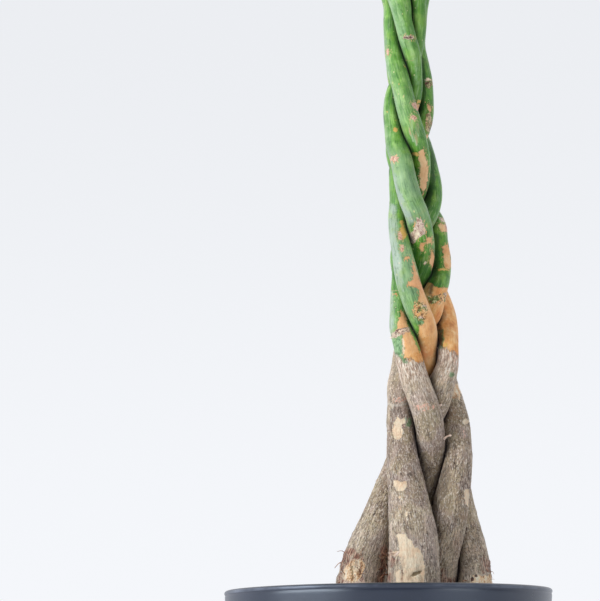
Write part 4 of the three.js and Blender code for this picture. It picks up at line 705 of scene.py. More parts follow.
def bark_material():
    N = Nodes("money_tree_bark")
    s = N.attr("straight", True)
    long = N.vmul(s, (1.0, 1.0, 0.3))
    longer = N.vmul(s, (1.0, 1.0, 0.1))
    wide = N.vmul(s, (0.4, 0.4, 1.6))
    fine = N.noise(s, 900.0, 3.0, 0.65)
    mid = N.noise(s, 260.0, 4.0, 0.6)
    big = N.noise(s, 70.0, 4.0, 0.55)
    huge = N.noise(s, 24.0, 3.0, 0.5)
    ragged = N.math("MULTIPLY", N.math("SUBTRACT", N.noise(s, 480.0, 5.0, 0.75), 0.5), 4.4)
    tone, gap, exposed, barked, height = (N.attr(k) for k in ("tone", "gap", "exposed", "barked", "height"))

    def times(a, b):
        return N.math("MULTIPLY", a, b)

    def less(a):
        return N.math("SUBTRACT", 1.0, a)

    # green skin, with painted sheen of pale grey-green where it stands out from the plait and painted shade of deeper
    # green where it is sheltered
    g = N.ramp(N.math("ADD", times(big, 0.55), times(N.noise(longer, 330.0, 3.0, 0.65), 0.47)),
               [(0.37, lin(52, 112, 24)), (0.47, lin(84, 146, 40)), (0.56, lin(114, 170, 60)), (0.67, lin(160, 206, 104))])
    painted_sheen = N.math("ADD", exposed, times(N.math("SUBTRACT", N.noise(s, 38.0, 4.0, 0.6), 0.5), 0.9))
    painted_sheen = times(N.step(painted_sheen, 0.66, 1.14), N.range(height, 0.68, 0.86, 1.0, 0.3))
    g = N.mix(times(painted_sheen, 0.62), g, N.mix(big, lin(116, 152, 112), lin(176, 200, 172)))
    # painted highlight: paler grey-green on the side facing the light
    side = times(N.step(N.math("ADD", N.attr("lit_side"), times(N.math("SUBTRACT", big, 0.5), 0.8)), 0.38, 0.95), N.step(exposed, 0.5, 0.9))
    g = N.mix(times(side, N.range(height, 0.62, 0.86, 0.55, 0.36)), g, lin(172, 186, 170))
    # painted sheen and painted highlight where the sheen marks lie
    sheen_marks = N.step(N.math("ADD", N.attr("m_painted_sheen"), times(N.math("SUBTRACT", mid, 0.5), 6.0)), -1.8, 3.2)
    g = N.mix(times(sheen_marks, N.range(height, 0.66, 0.9, 0.76, 0.5)), g, N.mix(N.step(height, 0.68, 0.88), N.mix(big, lin(160, 177, 162), lin(192, 202, 194)), N.mix(big, lin(152, 196, 138), lin(190, 218, 178))))
    # painted shade: deeper green where the stem is sheltered inside the plait
    deepg = times(less(N.step(N.math("ADD", exposed, times(mid, 0.2)), 0.35, 0.85)), 0.72)
    g = N.mix(deepg, g, N.mix(big, lin(18, 74, 6), lin(54, 120, 26)))
    # painted shade: deeper green on the side facing away from the light
    away = times(N.step(N.math("MULTIPLY", N.attr("lit_side"), -1.0), 0.15, 0.9), N.step(height, 0.5, 0.8))
    g = N.mix(times(away, 0.5), g, N.mix(big, lin(30, 96, 12), lin(76, 140, 36)))
    streak = N.step(N.noise(longer, 760.0, 2.0, 0.55), 0.54, 0.66)
    g = N.mix(times(streak, 0.34), g, lin(184, 212, 150))
    dark = N.step(N.noise(longer, 560.0, 3.0, 0.65), 0.53, 0.66)
    g = N.mix(times(dark, N.range(height, 0.6, 0.95, 0.5, 0.26)), g, lin(28, 84, 26))
    pits = N.step(N.noise(s, 330.0, 3.0, 0.65), 0.58, 0.66)
    g = N.mix(times(pits, 0.35), g, lin(34, 88, 34))
    yellowish = N.step(N.noise(s, 42.0, 3.0, 0.6), 0.52, 0.68)
    g = N.mix(times(yellowish, 0.3), g, lin(150, 184, 60))
    # lenticels: small pale corky dots
    dots = N.voronoi(N.vmul(s, (1.0, 1.0, 0.78)), 190.0)
    dotsize = N.range(N.noise(s, 60.0, 2.0), 0.38, 0.66, 0.02, 0.2)
    dot = times(N.math("LESS_THAN", dots, dotsize), N.step(N.noise(s, 230.0, 1.0), 0.45, 0.52))
    g = N.mix(times(dot, 0.8), g, lin(216, 212, 150))
    ringline = N.step(N.math("ADD", N.attr("rings"), times(ragged, 0.05)), 0.2, 0.4)
    g = N.mix(times(ringline, 0.2), g, lin(158, 160, 96))

    # orange under-bark where the green skin has peeled
    tan = N.ramp(N.math("ADD", times(mid, 0.4), times(big, 0.65)),
                 [(0.38, lin(204, 132, 64)), (0.47, lin(230, 164, 90)), (0.56, lin(240, 186, 118)), (0.68, lin(250, 216, 164))])
    tan = N.mix(times(N.step(huge, 0.5, 0.62), 0.3), tan, lin(230, 184, 132))
    rosy = N.step(N.noise(N.vmul(s, (1.0, 1.0, 0.5)), 62.0, 3.0, 0.6), 0.52, 0.66)
    tan = N.mix(times(rosy, 0.34), tan, lin(236, 150, 104))
    tan = N.mix(times(N.step(N.noise(longer, 620.0, 3.0, 0.6), 0.53, 0.64), 0.32), tan, lin(196, 124, 66))
    blot = N.noise(N.vmul(s, (1.0, 1.0, 0.6)), 150.0, 4.0, 0.7)
    tan = N.mix(times(N.step(blot, 0.54, 0.62), 0.36), tan, lin(246, 214, 164))
    tan = N.mix(times(less(N.step(blot, 0.38, 0.46)), 0.2), tan, lin(214, 126, 74))
    tan = N.mix(times(N.step(N.noise(longer, 900.0, 2.0, 0.6), 0.56, 0.66), 0.3), tan, lin(240, 206, 160))
    tan = N.mix(times(N.step(N.noise(s, 620.0, 2.0, 0.6), 0.67, 0.73), 0.5), tan, lin(128, 84, 50))
    # painted highlight: the orange is paler on the side facing the light
    tan = N.mix(times(N.step(N.attr("lit_side"), 0.2, 0.95), 0.14), tan, lin(228, 196, 168))
    tan = N.mix(0.3, tan, N.mix(1.0, tan, lin(250, 226, 196), "MULTIPLY"))

    # grey-brown bark: fine specks and short dashes over slow changes of tint, dark pits, pale flakes
    dashy = N.noise(long, 640.0, 3.0, 0.72, 0.4)
    specky = N.noise(N.vmul(s, (1.0, 1.0, 0.6)), 980.0, 3.0, 0.72)
    upright = N.noise(N.vmul(s, (1.0, 1.0, 0.06)), 860.0, 3.0, 0.7, 0.2)
    plate = N.noise(N.vmul(s, (1.0, 1.0, 0.45)), 120.0, 4.0, 0.62)
    fibrous = N.math("ADD", 0.35, times(less(N.step(N.math("ADD", height, times(N.math("SUBTRACT", huge, 0.5), 0.3)), 0.03, 0.2)), 0.65))
    grainy = N.math("ADD", times(dashy, 0.56), times(specky, 0.44))
    b = N.ramp(N.math("ADD", N.fmix(times(fibrous, 0.62), grainy, upright), times(N.math("SUBTRACT", plate, 0.5), 0.26)),
               [(0.385, lin(70, 56, 47)), (0.455, lin(148, 132, 117)), (0.51, lin(192, 177, 160)), (0.57, lin(220, 208, 192)), (0.65, lin(252, 245, 234))])
    tint = N.ramp(N.math("ADD", times(N.noise(s, 40.0, 4.0, 0.6, 0.3), 0.86), times(tone, 0.12)),
                  [(0.38, lin(243, 232, 234)), (0.46, lin(253, 242, 230)), (0.53, lin(247, 241, 220)), (0.6, lin(253, 239, 220)), (0.68, lin(249, 226, 208))])
    b = N.mix(1.0, b, tint, "MULTIPLY")
    b = N.mix(N.range(height, 0.02, 0.16, 0.34, 0.0), b, lin(222, 208, 192))
    b = N.mix(times(times(N.step(height, 0.1, 0.16), less(N.step(height, 0.28, 0.35))), 0.16), b, lin(92, 80, 68))
    crack = N.voronoi(N.vmul(s, (1.0, 1.0, 0.14)), 520.0, "DISTANCE_TO_EDGE")
    cracks = times(less(N.step(N.math("ADD", crack, times(N.math("SUBTRACT", fine, 0.5), 0.16)), 0.0, 0.12)), N.step(N.noise(long, 170.0, 3.0), 0.46, 0.6))
    b = N.mix(times(cracks, 0.6), b, lin(66, 50, 41))
    pit = N.step(N.noise(N.vmul(s, (1.0, 1.0, 0.5)), 600.0, 3.0, 0.7), 0.575, 0.63)
    calm = times(N.step(N.noise(N.vmul(s, (1.0, 1.0, 0.5)), 46.0, 3.0, 0.6), 0.47, 0.58), N.step(height, 0.05, 0.14))
    b = N.mix(times(calm, 0.5), b, N.mix(0.8, b, N.mix(1.0, lin(182, 168, 148), tint, "MULTIPLY")))
    b = N.mix(times(pit, N.fmix(calm, 0.72, 0.4)), b, lin(62, 46, 38))
    flake = N.step(N.noise(N.vmul(s, (1.0, 1.0, 0.42)), 680.0, 2.0, 0.7), 0.565, 0.62)
    b = N.mix(times(flake, 0.75), b, lin(244, 234, 220))
    moss = N.step(N.noise(s, 26.0, 4.0, 0.62, 0.4), 0.53, 0.68)
    b = N.mix(times(moss, 0.16), b, lin(158, 156, 116))
    lines = times(N.step(N.noise(wide, 560.0, 3.0, 0.6), 0.55, 0.66), N.step(N.noise(s, 30.0, 2.0), 0.48, 0.6))
    b = N.mix(times(lines, 0.45), b, lin(106, 90, 76))
    ringb = times(N.step(N.math("ADD", N.attr("rings"), times(ragged, 0.05)), 0.26, 0.42), N.step(N.noise(s, 120.0, 2.0), 0.45, 0.6))
    b = N.mix(times(ringb, 0.25), b, lin(220, 208, 190))
    # the first bark under the peeled zone is pale and pinkish, in upright dashes
    young = less(N.step(N.math("ADD", barked, times(N.math("SUBTRACT", big, 0.5), 50.0)), 6.0, 44.0))
    youngc = N.ramp(N.noise(N.vmul(s, (1.0, 1.0, 0.22)), 620.0, 3.0, 0.7), [(0.4, lin(112, 80, 64)), (0.46, lin(184, 146, 122)), (0.51, lin(224, 198, 174)), (0.58, lin(250, 242, 230))])
    b = N.mix(times(young, 0.85), b, youngc)
    b = N.mix(times(N.step(height, 0.26, 0.34), 0.16), b, lin(246, 226, 200))

    def inside(name, soft=0.35, rough=1.0):
        return N.step(N.math("ADD", N.attr(name), times(ragged, rough)), -soft, soft)

    m_peel = inside("peel", 0.4, 1.6)
    m_bark = N.step(N.math("ADD", N.math("ADD", barked, times(ragged, 2.0)), times(N.math("SUBTRACT", dashy, 0.5), 14.0)), -1.2, 1.2)
    m_tan, m_cream, m_pink, m_yel, m_beige = (inside("m_" + k, 0.45, 1.1) for k in ("tan", "cream", "pink", "yellow", "beige"))
    bits = times(N.step(N.noise(N.vmul(s, (1.0, 1.0, 0.7)), 430.0, 3.0, 0.7), 0.56, 0.59), N.step(N.math("MAXIMUM", N.attr("m_tan"), N.math("MAXIMUM", N.attr("m_pink"), N.math("MAXIMUM", N.attr("m_beige"), N.attr("m_scar")))), -3.6, -1.0))
    m_tan = N.math("MAXIMUM", m_tan, times(bits, less(m_bark)))
    m_pale = inside("m_pale", 0.5, 0.8)
    m_green = inside("m_greenpatch", 0.6, 1.2)
    m_green = times(m_green, less(times(N.step(N.noise(N.vmul(s, (1.0, 1.0, 0.6)), 250.0, 4.0, 0.7), 0.53, 0.58), 0.85)))
    m_scar = inside("m_scar", 0.5, 1.0)
    m_eye = inside("m_eye", 0.3, 0.5)
    m_ring = inside("m_ring", 0.3, 0.3)
    m_crack = inside("m_crack", 0.4, 0.4)
    m_fleck = inside("m_fleck", 0.5, 1.3)
    m_cres = inside("m_crescent", 0.4, 0.5)
    m_shade = inside("m_shade", 1.6, 0.5)
    m_fibre = inside("m_fibre", 1.2, 1.6)

    greenmix = N.mix(N.step(mid, 0.38, 0.62), lin(52, 108, 44), lin(146, 186, 132))
    creamc = N.ramp(N.math("ADD", times(mid, 0.55), times(big, 0.45)),
                    [(0.38, lin(240, 206, 170)), (0.48, lin(248, 223, 190)), (0.62, lin(252, 237, 210))])
    beigec = N.ramp(N.math("ADD", times(fine, 0.6), times(mid, 0.42)),
                    [(0.4, lin(142, 96, 82)), (0.46, lin(204, 166, 148)), (0.54, lin(230, 204, 184)), (0.64, lin(246, 238, 214))])
    pinkc = N.ramp(N.math("ADD", times(fine, 0.55), times(mid, 0.47)),
                   [(0.4, lin(176, 110, 88)), (0.48, lin(216, 158, 134)), (0.56, lin(236, 192, 168)), (0.66, lin(246, 224, 200))])

    col = N.mix(m_peel, g, tan)
    upper = N.step(height, 0.5, 0.72)
    lone = N.mix(big, lin(234, 180, 128), lin(250, 220, 178))
    col = N.mix(m_tan, col, N.mix(times(less(m_peel), N.fmix(upper, 0.26, 0.66)), tan, lone))
    col = N.mix(m_yel, col, N.mix(mid, lin(212, 150, 58), lin(238, 206, 126)))
    edge = N.math("ADD", N.math("MAXIMUM", N.attr("m_tan"), N.math("MAXIMUM", N.attr("m_cream"), N.attr("peel"))), times(ragged, 1.3))
    rim = times(less(N.step(N.math("ABSOLUTE", edge), 0.1, 0.75)), 0.26)
    col = N.mix(rim, col, lin(116, 98, 46))
    # pale marks: streaks of tan skin and pale green, the pale green being a painted highlight
    palec = N.mix(N.step(N.noise(longer, 520.0, 3.0, 0.6), 0.46, 0.54), lin(186, 214, 172), lin(206, 170, 134))
    col = N.mix(times(m_pale, N.range(N.noise(longer, 400.0, 2.0, 0.6), 0.42, 0.58, 0.18, 0.68)), col, palec)
    col = N.mix(m_bark, col, b)
    # green skin that stays as patches on the orange and on the bark
    col = N.mix(times(m_green, 0.9), col, N.mix(times(m_bark, 0.45), greenmix, lin(150, 164, 128)))
    col = N.mix(times(m_beige, 0.95), col, beigec)
    spots = N.step(N.noise(s, 330.0, 3.0, 0.75), 0.48, 0.56)
    col = N.mix(times(m_pink, N.fmix(m_bark, 0.9, times(spots, 0.85))), col, N.mix(times(m_bark, 0.5), pinkc, lin(246, 196, 172)))
    woody = N.ramp(N.math("ADD", times(fine, 0.4), times(N.noise(long, 210.0, 4.0, 0.7), 0.62)), [(0.41, lin(140, 92, 60)), (0.455, lin(226, 172, 122)), (0.5, lin(247, 214, 172)), (0.58, lin(254, 243, 220))])
    col = N.mix(times(m_tan, m_bark), col, woody)
    col = N.mix(m_cream, col, creamc)
    fn = N.noise(N.vmul(s, (0.8, 0.8, 1.2)), 380.0, 4.0, 0.75)
    fleckc = N.mix(N.step(N.noise(s, 150.0, 3.0, 0.7), 0.47, 0.53), tan, lin(104, 136, 62))
    fleckc = N.mix(N.step(fn, 0.56, 0.61), fleckc, lin(240, 218, 172))
    fleckc = N.mix(times(upper, 0.7), fleckc, N.mix(N.step(N.noise(long, 330.0, 3.0, 0.7), 0.46, 0.54), lin(120, 122, 70), lin(236, 208, 164)))
    fleckc = N.mix(times(less(N.step(fn, 0.42, 0.48)), 0.9), fleckc, lin(96, 60, 30))
    col = N.mix(times(m_fleck, 0.95), col, fleckc)
    col = N.mix(times(m_ring, 0.7), col, N.mix(fine, lin(120, 92, 66), lin(214, 186, 132)))
    # leaf scars: a pale pinkish band with broken dark red dashes across it
    col = N.mix(times(m_scar, 0.85), col, beigec)
    scardash = N.step(N.noise(N.vmul(s, (0.6, 0.6, 1.5)), 360.0, 3.0, 0.7), 0.52, 0.6)
    col = N.mix(times(m_scar, times(scardash, 0.92)), col, lin(82, 38, 30))
    fibrec = N.ramp(N.noise(N.vmul(s, (1.0, 1.0, 0.16)), 640.0, 3.0, 0.7), [(0.38, lin(60, 26, 20)), (0.46, lin(118, 68, 54)), (0.53, lin(190, 136, 112)), (0.6, lin(236, 208, 184))])
    strands = N.fmix(N.step(N.noise(N.vmul(s, (1.0, 1.0, 0.28)), 250.0, 3.0, 0.7), 0.43, 0.52), 0.3, 0.9)
    col = N.mix(times(m_fibre, strands), col, fibrec)
    col = N.mix(times(m_cres, 0.6), col, lin(216, 206, 192))
    col = N.mix(times(m_shade, N.fmix(m_bark, 0.78, 0.42)), col, N.mix(m_bark, N.mix(m_peel, lin(18, 66, 8), lin(76, 46, 18)), lin(78, 62, 50)))
    col = N.mix(times(m_crack, 0.85), col, N.mix(mid, lin(96, 76, 42), lin(150, 128, 86)))
    col = N.mix(times(m_eye, 0.92), col, N.mix(N.step(fine, 0.46, 0.54), lin(108, 52, 40), lin(44, 22, 16)))
    # painted shade darkens the seams of the plait, deepest where the stems touch
    seam_shade = less(N.math("MULTIPLY", N.step(N.math("DIVIDE", N.math("ADD", gap, times(ragged, 0.4)), N.fmix(m_bark, 7.2, 7.6)), -0.02, 1.0), 1.0))
    seam_shade = N.math("MAXIMUM", times(seam_shade, 0.88), less(N.step(N.math("ADD", gap, times(ragged, 0.5)), 0.9, 3.8)))
    seam_shade_color = N.mix(m_bark, N.mix(m_peel, lin(2, 38, 0), lin(60, 30, 8)), lin(40, 21, 12))
    col = N.mix(times(seam_shade, 0.96), col, seam_shade_color)
    N.set(Base_Color=col)

    smoothness = N.fmix(m_bark, N.fmix(N.math("MAXIMUM", m_peel, m_tan), 0.38, 0.58), 0.8)
    smoothness = N.fmix(seam_shade, smoothness, 1.0)
    N.set(Roughness=N.math("ADD", smoothness, times(N.math("SUBTRACT", mid, 0.5), 0.25)))
    h = times(N.math("ADD", N.math("ADD", dashy, times(plate, 0.6)), times(flake, 0.25)), m_bark)
    h = N.math("ADD", h, times(fine, N.fmix(m_bark, 0.16, 0.55)))
    h = N.math("SUBTRACT", h, times(times(N.math("MAXIMUM", cracks, pit), m_bark), 0.7))
    h = N.math("SUBTRACT", h, times(N.math("MAXIMUM", m_tan, m_peel), 0.3))
    h = N.math("SUBTRACT", h, times(m_cream, times(m_bark, 0.5)))
    h = N.math("ADD", h, times(times(dot, 0.45), less(m_bark)))
    h = N.math("SUBTRACT", h, times(times(N.math("MAXIMUM", dark, pits), 0.16), less(m_bark)))
    h = N.math("ADD", h, times(N.math("MAXIMUM", m_scar, N.math("MAXIMUM", m_fleck, m_fibre)), times(fine, 0.8)))
    h = N.math("ADD", h, times(mid, 0.3))
    N.set(Normal=N.bump(h, 0.9, 0.0011))
    N.bsdf.inputs["Specular IOR Level"].default_value = 0.45
    N.bsdf.inputs["Sheen Weight"].default_value = 0.1
    N.bsdf.inputs["Sheen Roughness"].default_value = 0.42
    N.bsdf.inputs["Sheen Tint"].default_value = lin(236, 238, 250)
    return N.mat


# ---------------------------------------------------------------------------
# Pot
# ---------------------------------------------------------------------------
def turned(name, profile, sides):
    p = np.array(profile, float)
    a = np.arange(sides) / sides * 2 * math.pi
    v = np.stack([p[:, None, 0] * np.cos(a)[None], p[:, None, 0] * np.sin(a)[None], np.broadcast_to(p[:, None, 1], (len(p), sides))], -1)
    i, k = np.meshgrid(np.arange(len(p) - 1), np.arange(sides), indexing="ij")
    k1 = (k + 1) % sides
    quads = np.stack([i * sides + k, i * sides + k1, (i + 1) * sides + k1, (i + 1) * sides + k], -1).reshape(-1, 4)
    m = len(p) * sides
    verts = np.vstack([v.reshape(-1, 3), [[0, 0, p[0, 1]], [0, 0, p[-1, 1]]]])
    kk = np.arange(sides)
    kk1 = (kk + 1) % sides
    first = np.stack([np.full(sides, m), kk1, kk], -1)
    last = np.stack([np.full(sides, m + 1), (len(p) - 1) * sides + kk, (len(p) - 1) * sides + kk1], -1)
    return new_object(name, verts, [quads, first, last])


def wall(z):
    return POT_BASE_R + (POT_TOP_R - POT_BASE_R) * z / POT_HEIGHT


def pot_piece():
    prof = [(60, 1.6), (120, 1.6), (128, 1.2), (133, 0.0), (144.2, 0.0)]
    for a in np.linspace(-90, 0, 7):
        prof.append((145.0 + 3.0 * math.cos(math.radians(a)) * 1.0, 3.0 + 3.0 * math.sin(math.radians(a))))
    for z in np.linspace(8, POT_HEIGHT - 10.5, 34):
        prof.append((wall(z), z))
    # a fine groove runs round just under the rounded lip
    for dz, inset in ((-9.0, 0.0), (-7.6, 0.06), (-6.5, 0.2), (-5.9, 0.5), (-5.4, 0.56), (-4.9, 0.44), (-4.3, 0.08), (-3.7, 0.0)):
        prof.append((wall(POT_HEIGHT + dz) - inset, POT_HEIGHT + dz))
    rr = 3.3
    for a in np.linspace(6, 90, 10):
        prof.append((POT_TOP_R - rr + rr * math.cos(math.radians(a)), POT_HEIGHT - rr + rr * math.sin(math.radians(a))))
    inner = POT_TOP_R - POT_WALL
    for a in np.linspace(95, 180, 7):
        prof.append((inner + 3.1 + 3.1 * math.cos(math.radians(a)), POT_HEIGHT - 3.1 + 3.1 * math.sin(math.radians(a))))
    for z in np.linspace(POT_HEIGHT - 6, 290, 16):
        prof.append((wall(z) - POT_WALL, z))
    for z in (200, 100, 30, POT_FLOOR + 2):
        prof.append((wall(z) - POT_WALL, z))
    prof.append((wall(POT_FLOOR) - POT_WALL - 2, POT_FLOOR))
    prof.append((40, POT_FLOOR))
    o = turned("pot_body", prof, 224)
    me = o.data
    co = np.empty(len(me.vertices) * 3, np.float32)
    me.vertices.foreach_get("co", co)
    co = co.reshape(-1, 3).astype(float)
    # moulded wall: very slow unevenness, far too small to see as a dent
    d = fractal(co * 9.0, 2, 77) * 0.00022
    rad = unit(np.column_stack([co[:, :2], np.zeros(len(co))]))
    co += rad * (d * (np.hypot(co[:, 0], co[:, 1]) > 0.1))[:, None]
    me.vertices.foreach_set("co", co.astype(np.float32).ravel())
    me.update()
    return o


def pot_material():
    N = Nodes("pot_slate")
    c = N.n("ShaderNodeTexCoord").outputs["Object"]
    cloud = N.noise(c, 9.0, 4.0, 0.55)
    grain = N.noise(c, 1400.0, 2.0, 0.6)
    col = N.ramp(cloud, [(0.3, lin(31, 35, 50)), (0.5, lin(36, 41, 57)), (0.7, lin(43, 49, 66))])
    dust = N.math("MULTIPLY", N.step(N.noise(c, 240.0, 3.0, 0.7), 0.62, 0.74), 0.1)
    col = N.mix(dust, col, lin(132, 132, 136))
    z = N.n("ShaderNodeSeparateXYZ")
    N.link(c, z.inputs[0])
    height = N.math("ADD", z.outputs["Z"], N.math("MULTIPLY", N.math("SUBTRACT", N.noise(c, 90.0, 3.0), 0.5), 0.0006))
    # painted highlight: the lip is painted paler in patches, where it catches light
    lip = N.math("MULTIPLY", N.step(height, 0.3252, 0.3262), N.math("SUBTRACT", 1.0, N.step(height, 0.3282, 0.3288)))
    col = N.mix(N.math("MULTIPLY", lip, N.range(N.noise(c, 16.0, 3.0, 0.6), 0.42, 0.6, 0.04, 0.44)), col, lin(140, 148, 164))
    # painted shade: the groove under the lip is painted darker
    groove = N.math("SUBTRACT", 1.0, N.step(N.math("ABSOLUTE", N.math("SUBTRACT", height, 0.3246)), 0.0004, 0.0009))
    col = N.mix(N.math("MULTIPLY", groove, 0.12), col, lin(36, 38, 44))
    # the crest of the lip is painted darker
    crest = N.step(height, 0.3284, 0.3291)
    col = N.mix(N.math("MULTIPLY", crest, 0.85), col, lin(24, 25, 30))
    foot = N.math("SUBTRACT", 1.0, N.step(z.outputs["Z"], 0.0, 0.03))
    col = N.mix(N.math("MULTIPLY", foot, N.math("MULTIPLY", N.noise(c, 40.0, 3.0), 0.35)), col, lin(110, 106, 100))
    scuff = N.step(N.noise(N.vmul(c, (1.0, 1.0, 7.0)), 46.0, 3.0, 0.7), 0.66, 0.8)
    N.set(Base_Color=N.mix(N.math("MULTIPLY", scuff, 0.12), col, lin(104, 108, 118)))
    N.set(Roughness=N.math("ADD", N.range(cloud, 0.3, 0.7, 0.27, 0.34), N.math("MULTIPLY", scuff, 0.1)))
    N.set(Normal=N.bump(N.math("ADD", grain, N.math("MULTIPLY", N.noise(c, 120.0, 2.0), 0.5)), 0.1, 0.0005))
    N.bsdf.inputs["Specular IOR Level"].default_value = 0.88
    N.bsdf.inputs["Specular Tint"].default_value = (0.79, 0.89, 1.0, 1.0)
    return N.mat


# ---------------------------------------------------------------------------
# Soil
# ---------------------------------------------------------------------------
def soil_piece():
    rings, sides = 84, 180
    rmax = wall(SOIL_Z) - POT_WALL - 0.2
    rr = np.sqrt(np.linspace(0.0008, 1.0, rings)) * rmax
    a = np.arange(sides) / sides * 2 * math.pi
    x, y = rr[:, None] * np.cos(a)[None], rr[:, None] * np.sin(a)[None]
    p = np.stack([x, y, np.zeros_like(x)], -1).reshape(-1, 3)
    mound = SOIL_RISE * (1 - smooth(SOIL_MOUND_R - 10, SOIL_MOUND_R + 26, np.hypot(p[:, 0], p[:, 1])))
    lumps = fractal(p / 16.0, 4, 301, 0.6) * 2.6 + fractal(p / 4.0, 3, 302, 0.6) * 1.3
    z = SOIL_Z + mound - 1.4 + lumps * (0.35 + 0.65 * (1 - smooth(rmax - 8, rmax, np.hypot(p[:, 0], p[:, 1]))))
    top = np.column_stack([p[:, :2], z])
    low = []
    for zz in (296.0, 240.0, 120.0, POT_FLOOR + 0.5):
        r = wall(zz) - POT_WALL - 0.3
        low.append(np.column_stack([r * np.cos(a), r * np.sin(a), np.full(sides, zz)]))
    verts = np.vstack([top] + low + [[[0, 0, SOIL_Z + SOIL_RISE - 1.0], [0, 0, POT_FLOOR + 0.5]]])
    n = rings + len(low)
    i, k = np.meshgrid(np.arange(n - 1), np.arange(sides), indexing="ij")
    k1 = (k + 1) % sides
    quads = np.stack([i * sides + k1, i * sides + k, (i + 1) * sides + k, (i + 1) * sides + k1], -1).reshape(-1, 4)
    kk = np.arange(sides)
    kk1 = (kk + 1) % sides
    m = n * sides
    cap = np.stack([np.full(sides, m), kk, kk1], -1)
    bottom = np.stack([np.full(sides, m + 1), (n - 1) * sides + kk1, (n - 1) * sides + kk], -1)
    return new_object("soil_bed", verts, [quads, cap, bottom])


ICO = None


def pebbles(name, count, seed, size, squash, avoid=True):
    """Bits of bark and crumbs lying on the soil, as closed little lumps in one mesh."""
    t = (1 + 5 ** 0.5) / 2
    iv = np.array([(-1, t, 0), (1, t, 0), (-1, -t, 0), (1, -t, 0), (0, -1, t), (0, 1, t), (0, -1, -t), (0, 1, -t), (t, 0, -1), (t, 0, 1), (-t, 0, -1), (-t, 0, 1)], float)
    iv = unit(iv)
    f = np.array([(0, 11, 5), (0, 5, 1), (0, 1, 7), (0, 7, 10), (0, 10, 11), (1, 5, 9), (5, 11, 4), (11, 10, 2), (10, 7, 6), (7, 1, 8), (3, 9, 4), (3, 4, 2), (3, 2, 6), (3, 6, 8), (3, 8, 9), (4, 9, 5), (2, 4, 11), (6, 2, 10), (8, 6, 7), (9, 8, 1)])
    rng = np.random.default_rng(seed)
    vs, fs, made = [], [], 0
    while made < count:
        r = math.sqrt(rng.random()) * (wall(SOIL_Z) - POT_WALL - 5)
        a = rng.random() * 2 * math.pi
        x, y = r * math.cos(a), r * math.sin(a)
        if any(math.hypot(x - s[2][1], y - s[2][2]) < s[2][3] - 2 for s in STEMS.values()):
            continue
        s = rng.uniform(*size)
        sc = np.array([s, s * rng.uniform(*squash), s * rng.uniform(0.35, 0.7)])
        v = iv * (1 + 0.28 * rng.standard_normal((12, 1))) * sc
        ang = rng.random() * 2 * math.pi
        c, sn = math.cos(ang), math.sin(ang)
        tilt = rng.uniform(-0.35, 0.35)
        ct, st = math.cos(tilt), math.sin(tilt)
        rot = np.array([[c, -sn, 0], [sn, c, 0], [0, 0, 1]]) @ np.array([[ct, 0, st], [0, 1, 0], [-st, 0, ct]])
        v = v @ rot.T
        mound = SOIL_RISE * float(1 - smooth(SOIL_MOUND_R - 10, SOIL_MOUND_R + 26, np.array(r)))
        v += np.array([x, y, SOIL_Z + mound - 1.0 + s * 0.25])
        fs.append(f + 12 * made)
        vs.append(v)
        made += 1
    return new_object(name, np.vstack(vs), np.vstack(fs), shade=False)


def soil_material(name, dark, mid, light, scale):
    N = Nodes(name)
    c = N.n("ShaderNodeTexCoord").outputs["Object"]
    a = N.noise(c, scale, 5.0, 0.7)
    col = N.ramp(a, [(0.32, dark), (0.5, mid), (0.68, light)])
    fibre = N.step(N.noise(N.vmul(c, (1.0, 5.0, 1.0)), scale * 0.9, 2.0, 0.6), 0.62, 0.7)
    col = N.mix(N.math("MULTIPLY", fibre, 0.4), col, lin(124, 92, 64))
    grit = N.math("LESS_THAN", N.voronoi(c, scale * 1.4), 0.16)
    col = N.mix(N.math("MULTIPLY", N.math("MULTIPLY", grit, N.step(N.noise(c, scale * 0.6, 1.0), 0.5, 0.6)), 0.8), col, lin(176, 168, 156))
    N.set(Base_Color=col, Roughness=N.range(a, 0.3, 0.7, 0.98, 0.82))
    N.set(Normal=N.bump(N.math("ADD", a, N.noise(c, scale * 3.0, 3.0, 0.7)), 0.9, 0.0025))
    return N.mat


def threads(name, paths, radii, sides=6):
    """Closed thin tubes along the given lines, in one mesh."""
    vs, fs, ts, tv, count = [], [], [], [], 0
    for path, rad in zip(paths, radii):
        path = np.asarray(path, float)
        n = len(path)
        tg = unit(np.gradient(path, axis=0))
        ref = np.array([0.31, 0.2, 0.93]) if abs(tg[0] @ np.array([0.31, 0.2, 0.93])) < 0.9 else np.array([1.0, 0, 0])
        a = unit(np.cross(tg, ref[None]))
        b = np.cross(tg, a)
        ang = np.arange(sides) / sides * 2 * math.pi
        r = np.asarray(rad) * np.ones(n)
        ring = path[:, None] + r[:, None, None] * (np.cos(ang)[None, :, None] * a[:, None] + np.sin(ang)[None, :, None] * b[:, None])
        vs.append(np.vstack([ring.reshape(-1, 3), path[:1], path[-1:]]))
        i, k = np.meshgrid(np.arange(n - 1), np.arange(sides), indexing="ij")
        k1 = (k + 1) % sides
        fs.append(np.stack([i * sides + k, i * sides + k1, (i + 1) * sides + k1, (i + 1) * sides + k], -1).reshape(-1, 4) + count)
        kk = np.arange(sides)
        kk1 = (kk + 1) % sides
        m = n * sides
        ts.append(np.vstack([np.stack([np.full(sides, m), kk1, kk], -1), np.stack([np.full(sides, m + 1), (n - 1) * sides + kk, (n - 1) * sides + kk1], -1)]) + count)
        tv.append(np.concatenate([np.repeat(np.linspace(0, 1, n), sides), [0, 1]]))
        count += m + 2
    o = new_object(name, np.vstack(vs), [np.vstack(fs), np.vstack(ts)])
    put(o, "along", np.concatenate(tv))
    return o


